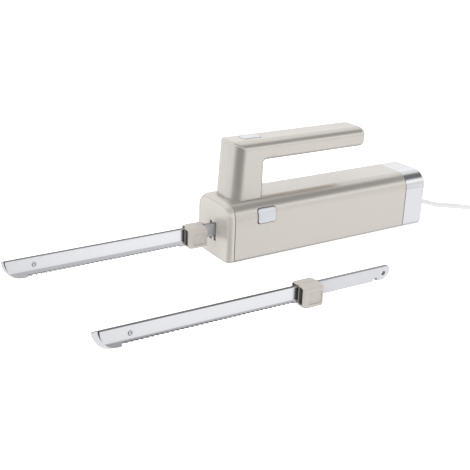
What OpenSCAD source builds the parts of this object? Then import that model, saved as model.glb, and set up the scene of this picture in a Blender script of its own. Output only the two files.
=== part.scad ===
// Electric carving knife on its mains lead, with a second pair of blades lying in front of it.
// +X runs to the rear, +Z up, -Y is the side that carries the release button.
// The origin is the centre of the long shell's flat base, on the surface the knife stands on.

/* [Body] */
// Width of the body over its side walls
body_w = 58; // [54:0.5:66]
// Height of the body above the surface
body_h = 58; // [56:0.5:64]
// Length of the long lacquered shell between its two seams
shell_len = 212; // [206:1:240]
// Radius of the two long upper edges
edge_r = 16; // [12:0.5:18]
// Radius of the two long lower edges
foot_r = 4; // [3:0.5:6]
// Wall thickness of the shell and of both end caps
wall = 2.4; // [2:0.1:3]

/* [End caps] */
// Length of the front cap
front_len = 8.2; // [8:0.1:12]
// Length of the front cap's straight rim next to the seam
front_rim = 2.2; // [1.5:0.1:4]
// How far the front cap's face is drawn in on each side
front_draft = 2.6; // [1.5:0.1:3]
// Length of the chrome rear cap
rear_len = 28; // [24:1:36]
// Rounding of the rear cap's end
rear_r = 4; // [2:0.5:5]

/* [Handle] */
// Width of the handle and of the post that carries it
handle_w = 37; // [32:0.5:42]
// Height of the handle's top above the surface
handle_top = 111; // [106:0.5:120]
// Thickness of the handle bar
bar_t = 18; // [16:0.5:22]
// Distance from the front seam to the handle's free end
handle_reach = 160; // [140:1:180]
// Distance from the front seam to the post's front, at its foot
post_x = 1.5; // [0.5:0.5:4]
// Length of the post along the body, at its foot
post_len = 37; // [32:0.5:44]
// How far the post's front leans back at the top
post_lean = 3.5; // [0:0.5:5]
// Radius of the post's rounded nose, seen from above
nose_r = 14; // [10:0.5:16]
// Radius of the post's rear corners, seen from above
heel_r = 7; // [4:0.5:9]
// Radius of the handle's free end, seen from above
end_r = 11; // [8:0.5:14]
// Rounding of the handle's long upper edges
crown_r = 7; // [4:0.5:8]
// Rounding of the bar's long lower edges
under_r = 4; // [2:0.5:5]
// Wall thickness of the handle
handle_wall = 2.5; // [2:0.1:3]

/* [Switch] */
// Length of the switch button along the handle
switch_l = 25; // [20:0.5:30]
// Width of the switch button
switch_w = 15; // [12:0.5:18]
// How far the switch button stands proud
switch_proud = 1.5; // [1:0.1:2]
// Travel of the switch button
switch_travel = 1.2; // [0.8:0.1:1.4]
// Distance from the front seam to the switch button's middle
switch_x = 31.5; // [28:0.5:36]

/* [Release button] */
// Length of the side button
release_l = 20; // [16:0.5:24]
// Height of the side button
release_h = 14.5; // [12:0.5:18]
// Distance from the front seam to the side button's middle
release_x = 35; // [30:0.5:45]
// Distance from the body's top down to the side button's middle
release_drop = 15.2; // [12:0.2:20]
// How far the side button stands proud
release_proud = 0.8; // [0.4:0.1:1.5]
// Travel of the side button
release_travel = 2.5; // [1.5:0.1:3]

/* [Blades] */
// Thickness of one blade
blade_t = 1.6; // [1.2:0.1:2]
// Height of one blade
blade_h = 18; // [16:0.5:20]
// Length of the near blade in front of its grip
blade_len = 168.5; // [140:0.5:190]
// Length of the second pair's near blade in front of its grip
spare_len = 177; // [140:0.5:190]
// How far a far blade's tip reaches past the near one's
tip_lead = 5; // [4:0.5:9]
// Gap between the two blades
blade_gap = 0.4; // [0.2:0.1:0.6]
// Length of the rounded tip, from its point to the straight edge
tip_reach = 16; // [12:0.5:20]
// Plain length behind the tip before the teeth start
plain_len = 18; // [17:1:25]
// Distance from the near blade's tip to the rivet
rivet_back = 24.5; // [22:0.5:30]
// Pitch of the teeth
tooth_pitch = 4.3; // [3:0.1:6]
// Depth of the teeth of the fitted pair
tooth_depth = 1.6; // [0.8:0.1:1.8]
// Depth of the teeth of the second pair
fine_depth = 0.8; // [0.5:0.1:1.4]
// Height of the tooth tips over the blade's lowest point on the fitted pair
tooth_lift = 0.2; // [0.1:0.1:1]
// Height of the tooth tips over the blade's lowest point on the second pair
fine_lift = 1.8; // [0.5:0.1:2.2]
// Height of the ground bevel above the edge
bevel_h = 6; // [4:0.5:8]
// Height of the tang that plugs into the body
tang_h = 12.5; // [10:0.5:13]
// Length of the tang behind the grip
tang_len = 79.5; // [70:0.5:84]

/* [Grips] */
// Length of a grip
grip_l = 19.5; // [15:0.5:22]
// Height of a grip
grip_h = 20.5; // [20:0.5:25]
// Width of a grip from the middle plane
grip_w = 11; // [9:0.5:12]
// Height of the underside of the fitted grips
grip_z = 14.5; // [13:0.5:15.5]
// Distance from the front cap to the fitted grips in mid stroke
grip_stand = 9.1; // [8:0.1:14]

/* [Drive] */
// Throw of each eccentric, half of a blade's stroke
throw = 3; // [2:0.1:3.2]
// How far each blade stands from its mid stroke
rest_shift = 1.4; // [1:0.1:1.8]
// Radius of the worm wheel over its teeth
wheel_r = 12; // [11:0.1:12.2]
// Thickness of the worm wheel
wheel_t = 6; // [5:0.5:6.5]
// Number of teeth of the worm wheel
wheel_teeth = 30; // [24:1:36]
// Distance from the tangs' ends to the worm wheel's axle
wheel_back = 29.5; // [28:0.5:34]
// Radius of each eccentric
ecc_r = 6.2; // [6:0.1:6.6]
// Play of each eccentric in its slot
ecc_play = 0.8; // [0.7:0.05:1]
// Radius of the motor shaft
shaft_r = 2.5; // [2:0.1:3]
// Radius of the armature's core
core_r = 11.5; // [9:0.5:12.5]
// Length of the armature's core and of the field stack
core_l = 34; // [28:1:38]
// Width of the field stack
stack_w = 44; // [38:1:46]

/* [Lead] */
// Diameter of the mains lead
cord_d = 5.5; // [5:0.1:6]
// Length of the strain relief behind the rear cap
relief_l = 22; // [20:0.5:22]

/* [Hidden] */
$fn = 48;
eps = 0.01;

// Clearances
seat = 0.3;
slip = 0.2;
run_fit = 0.05;

// Places along the body
fx = -shell_len/2;
rx = shell_len/2;
face_x = fx - front_len;
tail_x = rx + rear_len;

// Places of the handle
bar_bottom = handle_top - bar_t;
post_front = fx + post_x;
post_back = post_front + post_len;
handle_end = fx + handle_reach;

// Places of the blades
plate_in = blade_gap/2;
plate_out = plate_in + blade_t;
tang_z = grip_z + blade_h - tang_h;
grip_back = face_x - grip_stand;
rivet_r = 1.6;
rivet_head_r = 2.6;
rivet_head_t = 0.5;
rivet_z = blade_h*0.65;
slot_half = 2*throw + rivet_r + seat;

// Places of the drive, which follows on behind the tangs
link_front = fx + 4;
link_step = grip_back + tang_len + seat;
wheel_at = link_step + wheel_back;
bearing_front_back = 19;
motor_back = 55;
bearing_rear_back = 95;
bearing_x = [wheel_at + bearing_front_back, wheel_at + bearing_rear_back];
motor_x = wheel_at + motor_back;

// Colours, as photographed
c_lacquer = [0.82, 0.80, 0.77];
c_chrome = [0.90, 0.91, 0.93];
c_steel = [0.86, 0.87, 0.89];
c_grip = [0.74, 0.71, 0.68];
c_white = [0.95, 0.95, 0.94];
c_dark = [0.22, 0.22, 0.23];
c_nylon = [0.88, 0.86, 0.78];
c_iron = [0.45, 0.46, 0.48];
c_copper = [0.72, 0.42, 0.24];

// Shapes that repeat

// Points of an arc round c, from angle a0 to angle a1 in n steps
function arc(c, r, a0, a1, n) = [for (k = [0 : n]) c + r*[cos(a0 + (a1 - a0)*k/n), sin(a0 + (a1 - a0)*k/n)]];
// Turns an outline drawn across the body into a bar along X
module along_x(x0, len) {
    translate([x0, 0, 0]) rotate([90, 0, 90]) linear_extrude(len) children();
}
// Turns an outline drawn along the body, X across and Z up, into a plate from y0 to y0 + t
module along_y(y0, t) {
    translate([0, y0 + t, 0]) rotate([90, 0, 0]) linear_extrude(t) children();
}
// Rectangle standing on the X axis with two upper and two lower corner radii
module two_round(w, h, top_r, low_r) {
    translate([-w/2, low_r]) square([w, h - top_r - low_r]);
    translate([-w/2 + low_r, 0]) square([w - 2*low_r, low_r + eps]);
    translate([-w/2 + top_r, h - top_r - eps]) square([w - 2*top_r, top_r + eps]);
    for (s = [-1, 1]) {
        translate([s*(w/2 - low_r), low_r]) circle(low_r);
        translate([s*(w/2 - top_r), h - top_r]) circle(top_r);
    }
}
// Rectangle with four equal corner radii, from its lower left corner
module round_rect(w, h, r) {
    translate([w/2, 0]) two_round(w, h, r, r);
}
// The body's cross-section, drawn in by d on all sides
module section(d) {
    translate([0, d]) two_round(body_w - 2*d, body_h - 2*d, edge_r - d, max(foot_r - d, 0.8));
}
module body_solid(d) {
    along_x(face_x, shell_len + front_len + rear_len) section(d);
}
module screw(r, len) {
    cylinder(h = len, r = r);
    cylinder(h = r, r1 = 2*r, r2 = r);
}

// Body

shell_screw_front = 14;
shell_screw_rear = 150;
shell_screw_x = [fx + shell_screw_front, fx + shell_screw_rear];
shell_screw_y = 15;
module main_shell() {
    color(c_lacquer) difference() {
        along_x(fx, shell_len) section(0);
        along_x(fx - eps, shell_len + 2*eps) section(wall);
        along_y(-body_w/2 - eps, edge_r) release_outline(slip);
        translate([post_front + post_len/2, 0, body_h - wall - eps]) cylinder(h = wall + 2*eps, r = 5);
        for (p = handle_screw_at) translate([p[0], p[1], body_h - wall - eps])
            cylinder(h = wall + 2*eps, r = handle_screw_r + slip);
        for (x = shell_screw_x, s = [-1, 1]) translate([x, s*shell_screw_y, -eps]) {
            cylinder(h = wall + 2*eps, r = base_screw_r + slip);
            cylinder(h = 2*base_screw_r, r1 = 2*base_screw_r + 2*slip, r2 = 2*slip);
        }
    }
}

// The front cap's cross-section: drawn in by d at the sides and the top, and less at the base
module front_section(d) {
    translate([0, d*0.3]) two_round(body_w - 2*d, body_h - 1.3*d, edge_r - d, foot_r);
}
slot_room = 0.8;
slot_tall_h = 18.5;
slot_tall_up = 1.2;
slot_side_w = 3.5;
module front_cap() {
    color(c_lacquer) difference() {
        union() {
            along_x(fx - front_rim, front_rim) section(0);
            hull() for (a = [0, 30, 60, 90])
                along_x(fx - front_rim - (front_len - front_rim)*sin(a), eps)
                    front_section(front_draft*(1 - cos(a)), $fn = 32);
        }
        along_x(face_x + wall, front_len) section(front_draft + wall);
        along_x(face_x - 1, wall + 2) blade_slot();
    }
}
// The slot in the front cap: a bar that the two tangs pass through, with a tall leg on either side
module blade_slot() {
    bar_half = plate_out + slip;
    translate([-bar_half - eps, tang_z - slot_room]) square([2*(bar_half + eps), tang_h + 2*slot_room]);
    for (s = [-1, 1]) translate([s*(bar_half + slot_side_w/2) - slot_side_w/2, grip_z + slot_tall_up])
        square([slot_side_w, slot_tall_h]);
}

rear_end_wall = rear_r + 1;
module rear_cap() {
    color(c_chrome) difference() {
        hull() {
            along_x(rx + seat/2, eps) section(0, $fn = 32);
            for (a = [0, 30, 60, 90]) along_x(tail_x - rear_r + rear_r*sin(a) - eps, eps)
                section(rear_r*(1 - cos(a)), $fn = 32);
        }
        along_x(rx, rear_len - rear_end_wall) section(wall);
        translate([rx, 0, relief_z]) rotate([0, 90, 0]) cylinder(h = rear_len + 1, r = relief_r);
    }
}

base_screw_r = 1.5;
base_screw_l = 8;
module base_screws() {
    color(c_iron) for (x = shell_screw_x, s = [-1, 1]) translate([x, s*shell_screw_y, 0.2])
        screw(base_screw_r, base_screw_l);
}

// Handle

// The handle from the side, drawn in by d
arch_r = 5;
bar_end_r = 4.5;
module handle_side(d) {
    top = handle_top - d;
    low = bar_bottom + d;
    front = post_front + d;
    back = post_back - d;
    r = max(bar_end_r - d, 1);
    end_x = handle_end - d - r;
    polygon(concat([[front, body_h - edge_r], [front, body_h], [front + post_lean, top]],
        arc([end_x, top - r], r, 90, 0, 8), arc([end_x, low + r], r, 0, -90, 8),
        arc([back + arch_r, low - arch_r], arch_r, 90, 180, 8), [[back, body_h - edge_r]]));
}
// The handle from above, drawn in by d
module handle_plan(d) {
    w = handle_w - 2*d;
    nr = nose_r - d;
    er = end_r - d;
    translate([post_front + d + nr, -w/2]) square([handle_end - post_front - 2*d - nr - er, w]);
    translate([post_front + d, -w/2 + nr]) square([nr + eps, w - 2*nr]);
    translate([handle_end - d - er - eps, -w/2 + er]) square([er + eps, w - 2*er]);
    for (s = [-1, 1]) {
        translate([post_front + d + nr, s*(w/2 - nr)]) circle(nr);
        translate([handle_end - d - er, s*(w/2 - er)]) circle(er);
    }
}
// The post from above, drawn in by d
module post_plan(d) {
    w = handle_w - 2*d;
    hr = heel_r - d;
    intersection() {
        handle_plan(d);
        translate([post_back - d - 2*hr, 0]) rotate(-90) translate([0, -200]) two_round(w, 200 + 2*hr, hr, 1);
    }
}
// The post and the bar together, drawn in by d
module handle_form(d) {
    w = handle_w - 2*d;
    cut_z = body_h - edge_r;
    intersection() {
        along_y(-w/2, w) handle_side(d);
        union() {
            intersection() {
                translate([0, 0, cut_z]) linear_extrude(handle_top - d - cut_z) post_plan(d);
                along_x(fx, handle_reach) translate([0, cut_z])
                    two_round(w, handle_top - d - cut_z, crown_r - d, 1);
            }
            intersection() {
                translate([0, 0, bar_bottom + d]) linear_extrude(bar_t - 2*d) handle_plan(d);
                along_x(fx, handle_reach) translate([0, bar_bottom + d])
                    two_round(w, bar_t - 2*d, crown_r - d, under_r - d);
            }
            arch_block(d);
        }
    }
}
// The block under the bar that the arch behind the post is cut from
module arch_block(d) {
    w = handle_w - 2*d - 2*heel_r;
    translate([post_back - d - heel_r, -w/2, bar_bottom + d - arch_r]) cube([heel_r + arch_r, w, arch_r + 1]);
}
handle_screw_r = 1.5;
handle_screw_at = [[post_front + nose_r, -10], [post_front + nose_r, 10],
    [post_back - heel_r - 3, -10], [post_back - heel_r - 3, 10]];
module handle_shell() {
    color(c_lacquer) difference() {
        handle_form(0);
        body_solid(0);
        difference() {
            handle_form(handle_wall);
            body_solid(-handle_wall);
            for (p = handle_screw_at) translate([p[0], p[1], body_h]) cylinder(h = 14, r = 4);
        }
        translate([post_front + post_len/2, 0, body_h - 1]) cylinder(h = 6, r = 5);
        for (p = handle_screw_at) translate([p[0], p[1], body_h - eps]) cylinder(h = 12, r = handle_screw_r);
        translate([fx + switch_x, 0, handle_top - handle_wall - eps])
            linear_extrude(handle_wall + 2*eps) switch_outline(slip);
    }
}
module handle_screws() {
    color(c_iron) for (p = handle_screw_at) translate([p[0], p[1], body_h - wall - handle_screw_r])
        screw(handle_screw_r, 12);
}

// Switch

module switch_outline(d) {
    translate([-switch_l/2 - d, -switch_w/2 - d]) round_rect(switch_l + 2*d, switch_w + 2*d, 3);
}
flange_t = 1.2;
stem_l = 1.5;
stem_r = 2;
nub_h = 0.8;
switch_low = handle_top - handle_wall - flange_t;
micro_top = switch_low - seat - stem_l - switch_travel - slip - nub_h;
micro_low = bar_bottom + handle_wall + 0.1;
module switch_button() {
    color(c_chrome) translate([fx + switch_x, 0, 0]) {
        translate([0, 0, switch_low]) linear_extrude(handle_top + switch_proud - switch_low) switch_outline(0);
        translate([0, 0, switch_low - seat]) linear_extrude(flange_t) switch_outline(1.2);
        translate([0, 0, switch_low - seat - stem_l]) cylinder(h = stem_l + eps, r = stem_r);
    }
}
module switch_spring() {
    color(c_steel) translate([fx + switch_x + 8, 0, micro_top])
        spring(2.2, 0.4, switch_low - seat - micro_top, 3);
}
module microswitch() {
    color(c_dark) {
        translate([fx + switch_x - 10, -3.2, micro_low]) cube([20, 6.4, micro_top - micro_low]);
        translate([fx + switch_x - 1.5, -1.5, micro_top - eps]) cube([3, 3, nub_h + eps]);
        translate([fx + switch_x - 11, -handle_w/2 + handle_wall + 2, micro_low])
            cube([22, handle_w - 2*handle_wall - 4, 1.5]);
    }
}

// Release button

module release_outline(d) {
    translate([fx + release_x - release_l/2 - d, release_z - release_h/2 - d])
        round_rect(release_l + 2*d, release_h + 2*d, 2.5);
}
release_z = body_h - release_drop;
release_in = -body_w/2 + wall + seat;
// A layer that follows the body's side wall between two depths, in the button's outline
module side_layer(out, in, rim) {
    intersection() {
        along_y(-body_w, body_w/2 + edge_r) release_outline(rim);
        difference() {
            along_x(fx, shell_len) section(out);
            along_x(fx - eps, shell_len + 2*eps) section(in);
        }
    }
}
module release_button() {
    color(c_chrome) {
        side_layer(-release_proud, wall + seat + eps, 0);
        side_layer(wall + seat, wall + seat + flange_t, 1.2);
        translate([fx + release_x, release_in + flange_t - 0.5, release_z]) rotate([-90, 0, 0])
            cylinder(h = 6, r = 2);
    }
}
// The spring stands in the pocket of the chassis post, which it enters when the button is pressed
spring_r = 3.4;
spring_wire = 0.5;
spring_out_r = spring_r + spring_wire;
module release_spring() {
    color(c_steel) translate([fx + release_x, release_in + flange_t + 1.2, release_z]) rotate([-90, 0, 0])
        spring(spring_r, spring_wire, post_y - release_in - flange_t - 1, 4);
}

// Chassis and drive

motor_z = 31;
worm_r = 3.4;
wheel_z = motor_z - wheel_r - worm_r - slip;
axle_r = 2;
link_t = 3;
link_lip = 1.8;
link_out = plate_out + slip + link_t;
yoke_in = wheel_t/2 + 1.6;
yoke_out = yoke_in + link_t;

// The chassis: a floor with walls standing on it
floor_z = wall + 0.1;
floor_t = 2.5;
floor_w = 40;
floor_end = 6;
wall_t = 6;
guide_x = [fx + 14, link_step + 4];
guide_w = 24;
guide_crown = 7;
bearing_w = 28;
bearing_crown = 9;
cheek_l = 14;
cheek_t = 3;
cheek_crown = 5;
wheel_cheek = 12.5;
rest_y = 16;
rest_w = 8;
post_y = -15;
post_t = 5;
post_crown = 6;
boss_r = 3.5;
boss_h = 7;
// A wall of the chassis, from x over the length l, w wide round y and up to the height top
module stand(x, l, y, w, top) {
    translate([x, y - w/2, floor_z]) cube([l, w, top - floor_z]);
}
module chassis() {
    color(c_dark) difference() {
        union() {
            stand(fx + floor_end, shell_len - 2*floor_end, 0, floor_w, floor_z + floor_t);
            for (s = [-1, 1])
                stand(wheel_at - cheek_l/2, cheek_l, s*wheel_cheek, cheek_t, wheel_z + cheek_crown);
            for (x = bearing_x) stand(x - wall_t/2, wall_t, 0, bearing_w, motor_z + bearing_crown);
            for (x = guide_x) stand(x, wall_t, 0, guide_w, tang_z + tang_h + guide_crown);
            for (x = [motor_x - core_l/2 + wall_t/2, motor_x + core_l/2 - 1.5*wall_t], s = [-1, 1])
                stand(x, wall_t, s*rest_y, rest_w, stack_low);
            stand(fx + release_x - wall_t, 2*wall_t, post_y + post_t/2, post_t, release_z + post_crown);
            for (x = shell_screw_x, s = [-1, 1]) translate([x, s*shell_screw_y, floor_z])
                cylinder(h = boss_h, r = boss_r);
            for (s = [-1, 1]) stand(comm_x + 0.5, rest_w, s*(comm_r + rest_w), rest_w, motor_z - brush_t/2);
        }
        for (x = guide_x) along_x(x - eps, wall_t + 2*eps) link_way();
        translate([wheel_at, -floor_w/2, wheel_z]) rotate([-90, 0, 0]) cylinder(h = floor_w, r = axle_r);
        for (x = bearing_x) translate([x - wall_t, 0, motor_z]) rotate([0, 90, 0])
            cylinder(h = 2*wall_t, r = bearing_r);
        translate([fx + release_x, post_y - eps, release_z]) rotate([-90, 0, 0])
            cylinder(h = release_travel + 2*seat, r = spring_out_r + 2*slip);
        translate([wheel_at - wheel_r - 1, -wheel_t/2 - 1, floor_z - eps])
            cube([2*wheel_r + 2, wheel_t + 2, floor_t + 2*eps]);
        for (x = shell_screw_x, s = [-1, 1]) translate([x, s*shell_screw_y, 0])
            cylinder(h = base_screw_l + 0.2, r = base_screw_r);
    }
}
// Room in the two guide walls for the links
module link_way() {
    g = slip;
    translate([-yoke_out - g, tang_z - 2 - g]) square([2*(yoke_out + g), tang_h + 4 + 2*g]);
}

stack_air = 4.6;
stack_low = 11;
stack_h = body_h - wall - stack_air - stack_low;
stack_bore = core_r + 0.6;
window_back = 9;
window_y = stack_w/2 - window_back;
window_w = 5;
window_h = 20;
stack_r = 5;
module field_stack() {
    color(c_iron) translate([motor_x - core_l/2, 0, motor_z]) rotate([90, 0, 90]) linear_extrude(core_l)
        difference() {
            translate([-stack_w/2, stack_low - motor_z]) round_rect(stack_w, stack_h, stack_r);
            circle(stack_bore);
            for (s = [-1, 1]) translate([s*window_y - window_w/2, -window_h/2]) square([window_w, window_h]);
        }
}
winding_end = 5;
winding_rim = 4.8;
module field_coils() {
    long = core_l + 2*winding_end;
    deep = window_w - 2*slip;
    high = window_h - 2*slip;
    color(c_copper) for (s = [-1, 1]) translate([motor_x - long/2, s*window_y - deep/2, motor_z - high/2])
        difference() {
            cube([long, deep, high]);
            translate([winding_rim, -eps, winding_rim])
                cube([long - 2*winding_rim, deep + 2*eps, high - 2*winding_rim]);
        }
}
worm_turns = 4;
worm_lead = 3;
thread_t = 0.9;
module motor_shaft() {
    start = wheel_at - worm_turns*worm_lead/2 - 3;
    color(c_steel) translate([start, 0, motor_z]) rotate([0, 90, 0]) {
        cylinder(h = bearing_x[1] + 4 - start, r = shaft_r);
        for (k = [0 : worm_turns]) translate([0, 0, 2 + k*worm_lead]) {
            cylinder(h = thread_t, r1 = shaft_r, r2 = worm_r);
            translate([0, 0, thread_t - eps]) cylinder(h = thread_t, r1 = worm_r, r2 = shaft_r);
        }
    }
}
module armature_core() {
    color(c_iron) translate([motor_x - core_l/2, 0, motor_z]) rotate([0, 90, 0]) difference() {
        cylinder(h = core_l, r = core_r);
        translate([0, 0, -1]) cylinder(h = core_l + 2, r = shaft_r);
        for (k = [0 : 10]) rotate(k*360/11) translate([core_r - 2.6, -0.8, -1]) cube([4, 1.6, core_l + 2]);
    }
}
comm_x = motor_x + core_l/2 + 8;
comm_r = 7;
module commutator() {
    color(c_copper) translate([comm_x, 0, motor_z]) rotate([0, 90, 0]) difference() {
        cylinder(h = 9, r = comm_r);
        translate([0, 0, -1]) cylinder(h = 11, r = shaft_r);
    }
}
brush_l = 12;
brush_w = 6;
brush_t = 5;
module brushes() {
    color(c_dark) for (s = [-1, 1])
        translate([comm_x + 1.5, s*(comm_r + brush_l/2 + slip) - brush_l/2, motor_z - brush_t/2])
            cube([brush_w, brush_l, brush_t]);
}
fan_x = bearing_x[0] + 5;
module fan() {
    color(c_nylon) translate([fan_x, 0, motor_z]) rotate([0, 90, 0]) difference() {
        union() {
            cylinder(h = 1.2, r = 17);
            cylinder(h = 7, r = 5);
            for (k = [0 : 8]) rotate(k*40) translate([4, -0.5, 0]) cube([13, 1, 6.5]);
        }
        translate([0, 0, -1]) cylinder(h = 10, r = shaft_r);
    }
}
bearing_r = 6;
module bearing(x) {
    color(c_steel) translate([x - 2.5, 0, motor_z]) rotate([0, 90, 0]) difference() {
        cylinder(h = 5, r = bearing_r);
        translate([0, 0, -1]) cylinder(h = 7, r = shaft_r + run_fit);
    }
}
module bearing_front() {
    bearing(bearing_x[0]);
}
module bearing_rear() {
    bearing(bearing_x[1]);
}

// The wheel stands 42 degrees before its middle, so that the links stand off by rest_shift
wheel_rest = -90*rest_shift/throw;
root_r = wheel_r - 1;
module worm_wheel() {
    tooth_w = 360/wheel_teeth;
    color(c_nylon) translate([wheel_at, 0, wheel_z]) rotate([90, 0, 0]) difference() {
        union() {
            translate([0, 0, -wheel_t/2]) linear_extrude(wheel_t) polygon([for (k = [0 : wheel_teeth - 1],
                p = [[0, root_r], [0.25, root_r], [0.4, wheel_r], [0.6, wheel_r], [0.75, root_r]])
                p[1]*[cos((k + p[0])*tooth_w), sin((k + p[0])*tooth_w)]]);
            for (s = [-1, 1]) rotate(s < 0 ? -90 - wheel_rest : 90 - wheel_rest) translate([throw, 0, 0])
                mirror([0, 0, s < 0 ? 1 : 0]) cylinder(h = yoke_out + 0.4, r = ecc_r);
        }
        translate([0, 0, -20]) cylinder(h = 40, r = axle_r + run_fit);
    }
}
module wheel_axle() {
    color(c_steel) translate([wheel_at, 0, wheel_z]) rotate([90, 0, 0])
        translate([0, 0, -wheel_cheek - 1.5]) cylinder(h = 2*wheel_cheek + 3, r = axle_r);
}

// A link: a channel round its tang, a step outwards and a fork that straddles the eccentric
fork_gap = 2*(ecc_r + ecc_play);
fork_arm = 4.5;
fork_low = 3.2;
step_l = 8;
module link(shift) {
    translate([shift, 0, 0]) difference() {
        union() {
            along_y(plate_in, link_out - plate_in) translate([link_front, tang_z - link_lip])
                square([link_step - link_front, tang_h + 2*link_lip]);
            along_y(plate_out + slip, yoke_out - plate_out - slip)
                translate([link_step - eps, tang_z - link_lip]) square([step_l, tang_h + 2*link_lip]);
            along_y(yoke_in, link_t) fork_outline();
        }
        along_y(plate_in - eps, blade_t + 2*slip) translate([link_front - eps, tang_z - slip])
            square([link_step - link_front + 2*eps, tang_h + 2*slip]);
    }
}
module fork_outline() {
    start = link_step + step_l/2;
    low = floor_z + fork_low;
    difference() {
        translate([start, low]) round_rect(wheel_at + fork_gap/2 + fork_arm - start,
            tang_z + tang_h + link_lip - low, 2);
        translate([link_step, 0]) square([wheel_at - fork_gap/2 - fork_arm - link_step, tang_z - link_lip]);
        translate([wheel_at - fork_gap/2, 0]) square([fork_gap, wheel_z]);
        translate([wheel_at - fork_gap/2, wheel_z - ecc_r]) square([fork_gap, 2*ecc_r + throw + 1]);
    }
}
module link_near() {
    color(c_nylon) mirror([0, 1, 0]) link(-rest_shift);
}
module link_far() {
    color(c_nylon) link(rest_shift);
}

board_l = 40;
board_w = 24;
board_t = 1.6;
board_x = fx + 46;
board_drop = 12;
board_room = 3.7;
module circuit_board() {
    low = body_h - board_drop;
    part_h = low - tang_z - tang_h - link_lip - board_room;
    color([0.25, 0.42, 0.28]) translate([board_x, -board_w/2, low]) cube([board_l, board_w, board_t]);
    color(c_dark) translate([board_x + 4, -8, low - part_h + eps]) cube([12, 10, part_h]);
    color(c_dark) for (x = [board_x + 2, board_x + board_l - 4]) translate([x, 0, low + board_t - 0.1])
        cylinder(h = board_drop - board_t - wall + 0.1, r = 2);
}

// Blades

// The tang's latch: a notch in its lower edge and a hole near its end
latch_back = 18;
latch_l = 4;
latch_h = 3;
hole_back = 7;
hole_r = 2;
tang_low_r = 9;
tang_top_r = 3;
// One blade from the side: u is measured from the grip's rear, negative towards the tip
module blade_outline(len, lead, depth, lift) {
    tip_u = -grip_l - len - lead;
    start_u = -grip_l - len + plain_len;
    stop_u = -grip_l - 3;
    n = floor((stop_u - start_u)/tooth_pitch);
    low = blade_h - tang_h;
    latch_u = tang_len - latch_back;
    difference() {
        polygon(concat(
            [[0, low], [latch_u, low], [latch_u + 1, low + latch_h], [latch_u + latch_l, low + latch_h],
                [latch_u + latch_l, low]],
            [for (a = [0 : 15 : 75]) [tang_len - tang_low_r*(1 - sin(a)), low + tang_low_r*(1 - cos(a))]],
            [for (a = [0 : 30 : 90]) [tang_len - tang_top_r*(1 - cos(a)), blade_h - tang_top_r*(1 - sin(a))]],
            [for (a = [90 : -9 : 0]) [tip_u + tip_reach*(1 - sin(a)), blade_h*(1 - cos(a))]],
            [[start_u, 0]],
            [for (k = [0 : n - 1], p = [[0, 0.1], [0.2, 0.75], [0.5, 1], [0.8, 0.75]])
                [start_u + (k + p[0] + 0.12)*tooth_pitch, lift + depth*p[1]]],
            [[start_u + (n + 0.12)*tooth_pitch, lift], [stop_u, lift], [0, 0]]));
        translate([tang_len - hole_back, low + tang_h/2]) circle(hole_r);
    }
}
// One blade's cross-section: flat inside, ground to its edge outside
module blade_section() {
    edge_t = 0.25;
    polygon([[plate_in, 0], [plate_in + edge_t, 0], [plate_out, bevel_h], [plate_out, blade_h],
        [plate_in, blade_h]]);
}
module blade(len, lead, depth, lift) {
    intersection() {
        along_y(plate_in, blade_t) blade_outline(len, lead, depth, lift);
        union() {
            along_x(-grip_l - len - lead - 1, grip_l + len + lead + 1 + eps) blade_section();
            along_x(0, tang_len + 1) translate([plate_in, 0]) square([blade_t, blade_h]);
        }
    }
}
// Where the rivet sits on a blade of this length
function rivet_u(len) = -grip_l - len + rivet_back;
module far_blade(len, depth, lift) {
    slot_r = rivet_r + slip;
    slot_at = slot_half - rivet_r;
    difference() {
        blade(len, tip_lead, depth, lift);
        along_y(plate_in - eps, blade_t + 2*eps) translate([rivet_u(len), rivet_z]) {
            translate([-slot_at, -slot_r]) square([2*slot_at, 2*slot_r]);
            for (s = [-1, 1]) translate([s*slot_at, 0]) circle(slot_r);
        }
    }
}
module near_blade(len, depth, lift) {
    difference() {
        mirror([0, 1, 0]) blade(len, 0, depth, lift);
        translate([rivet_u(len), 0, rivet_z]) rotate([90, 0, 0]) cylinder(h = 5, r = rivet_r);
    }
}
module rivet(len) {
    back = -plate_out - slip;
    neck_r = rivet_head_r - 0.4;
    translate([rivet_u(len), 0, rivet_z]) rotate([90, 0, 0]) {
        translate([0, 0, back]) cylinder(h = 2*plate_out + slip, r = rivet_r);
        translate([0, 0, plate_out]) cylinder(h = rivet_head_t, r1 = rivet_head_r, r2 = neck_r);
        translate([0, 0, back - rivet_head_t]) cylinder(h = rivet_head_t, r1 = neck_r, r2 = rivet_head_r);
    }
}

// One grip: a moulded block with a framed, ribbed panel and a hollow front, round its blade
panel = 3;
pocket = 3;
grip_rim = 2;
rib_pitch = 3.6;
module grip() {
    difference() {
        along_y(slip/2, grip_w - slip/2) translate([-grip_l, 0]) round_rect(grip_l, grip_h, 2.5);
        along_y(0, plate_out) translate([-grip_l - 1, 0]) square([grip_l + 2, blade_h]);
        along_y(plate_out, grip_w - plate_out - grip_rim) translate([-grip_l - eps, grip_rim])
            square([pocket, grip_h - 2*grip_rim]);
        along_y(grip_w - 0.8, 1) difference() {
            translate([-grip_l + panel, panel]) round_rect(grip_l - 2*panel, grip_h - 2*panel, 1.5);
            for (k = [0 : 2]) translate([-grip_l + panel + 2 + k*rib_pitch, panel + 1])
                square([rib_pitch/2, grip_h - 2*panel - 2]);
        }
    }
}

module fitted(shift) {
    translate([grip_back + shift, 0, grip_z]) children();
}
module blade_near() {
    color(c_steel) fitted(-rest_shift) near_blade(blade_len, tooth_depth, tooth_lift);
}
module blade_far() {
    color(c_steel) fitted(rest_shift) far_blade(blade_len, tooth_depth, tooth_lift);
}
module grip_near() {
    color(c_grip) fitted(-rest_shift) mirror([0, 1, 0]) grip();
}
module grip_far() {
    color(c_grip) fitted(rest_shift) grip();
}
module tip_rivet() {
    color(c_steel) fitted(-rest_shift) rivet(blade_len);
}

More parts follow.
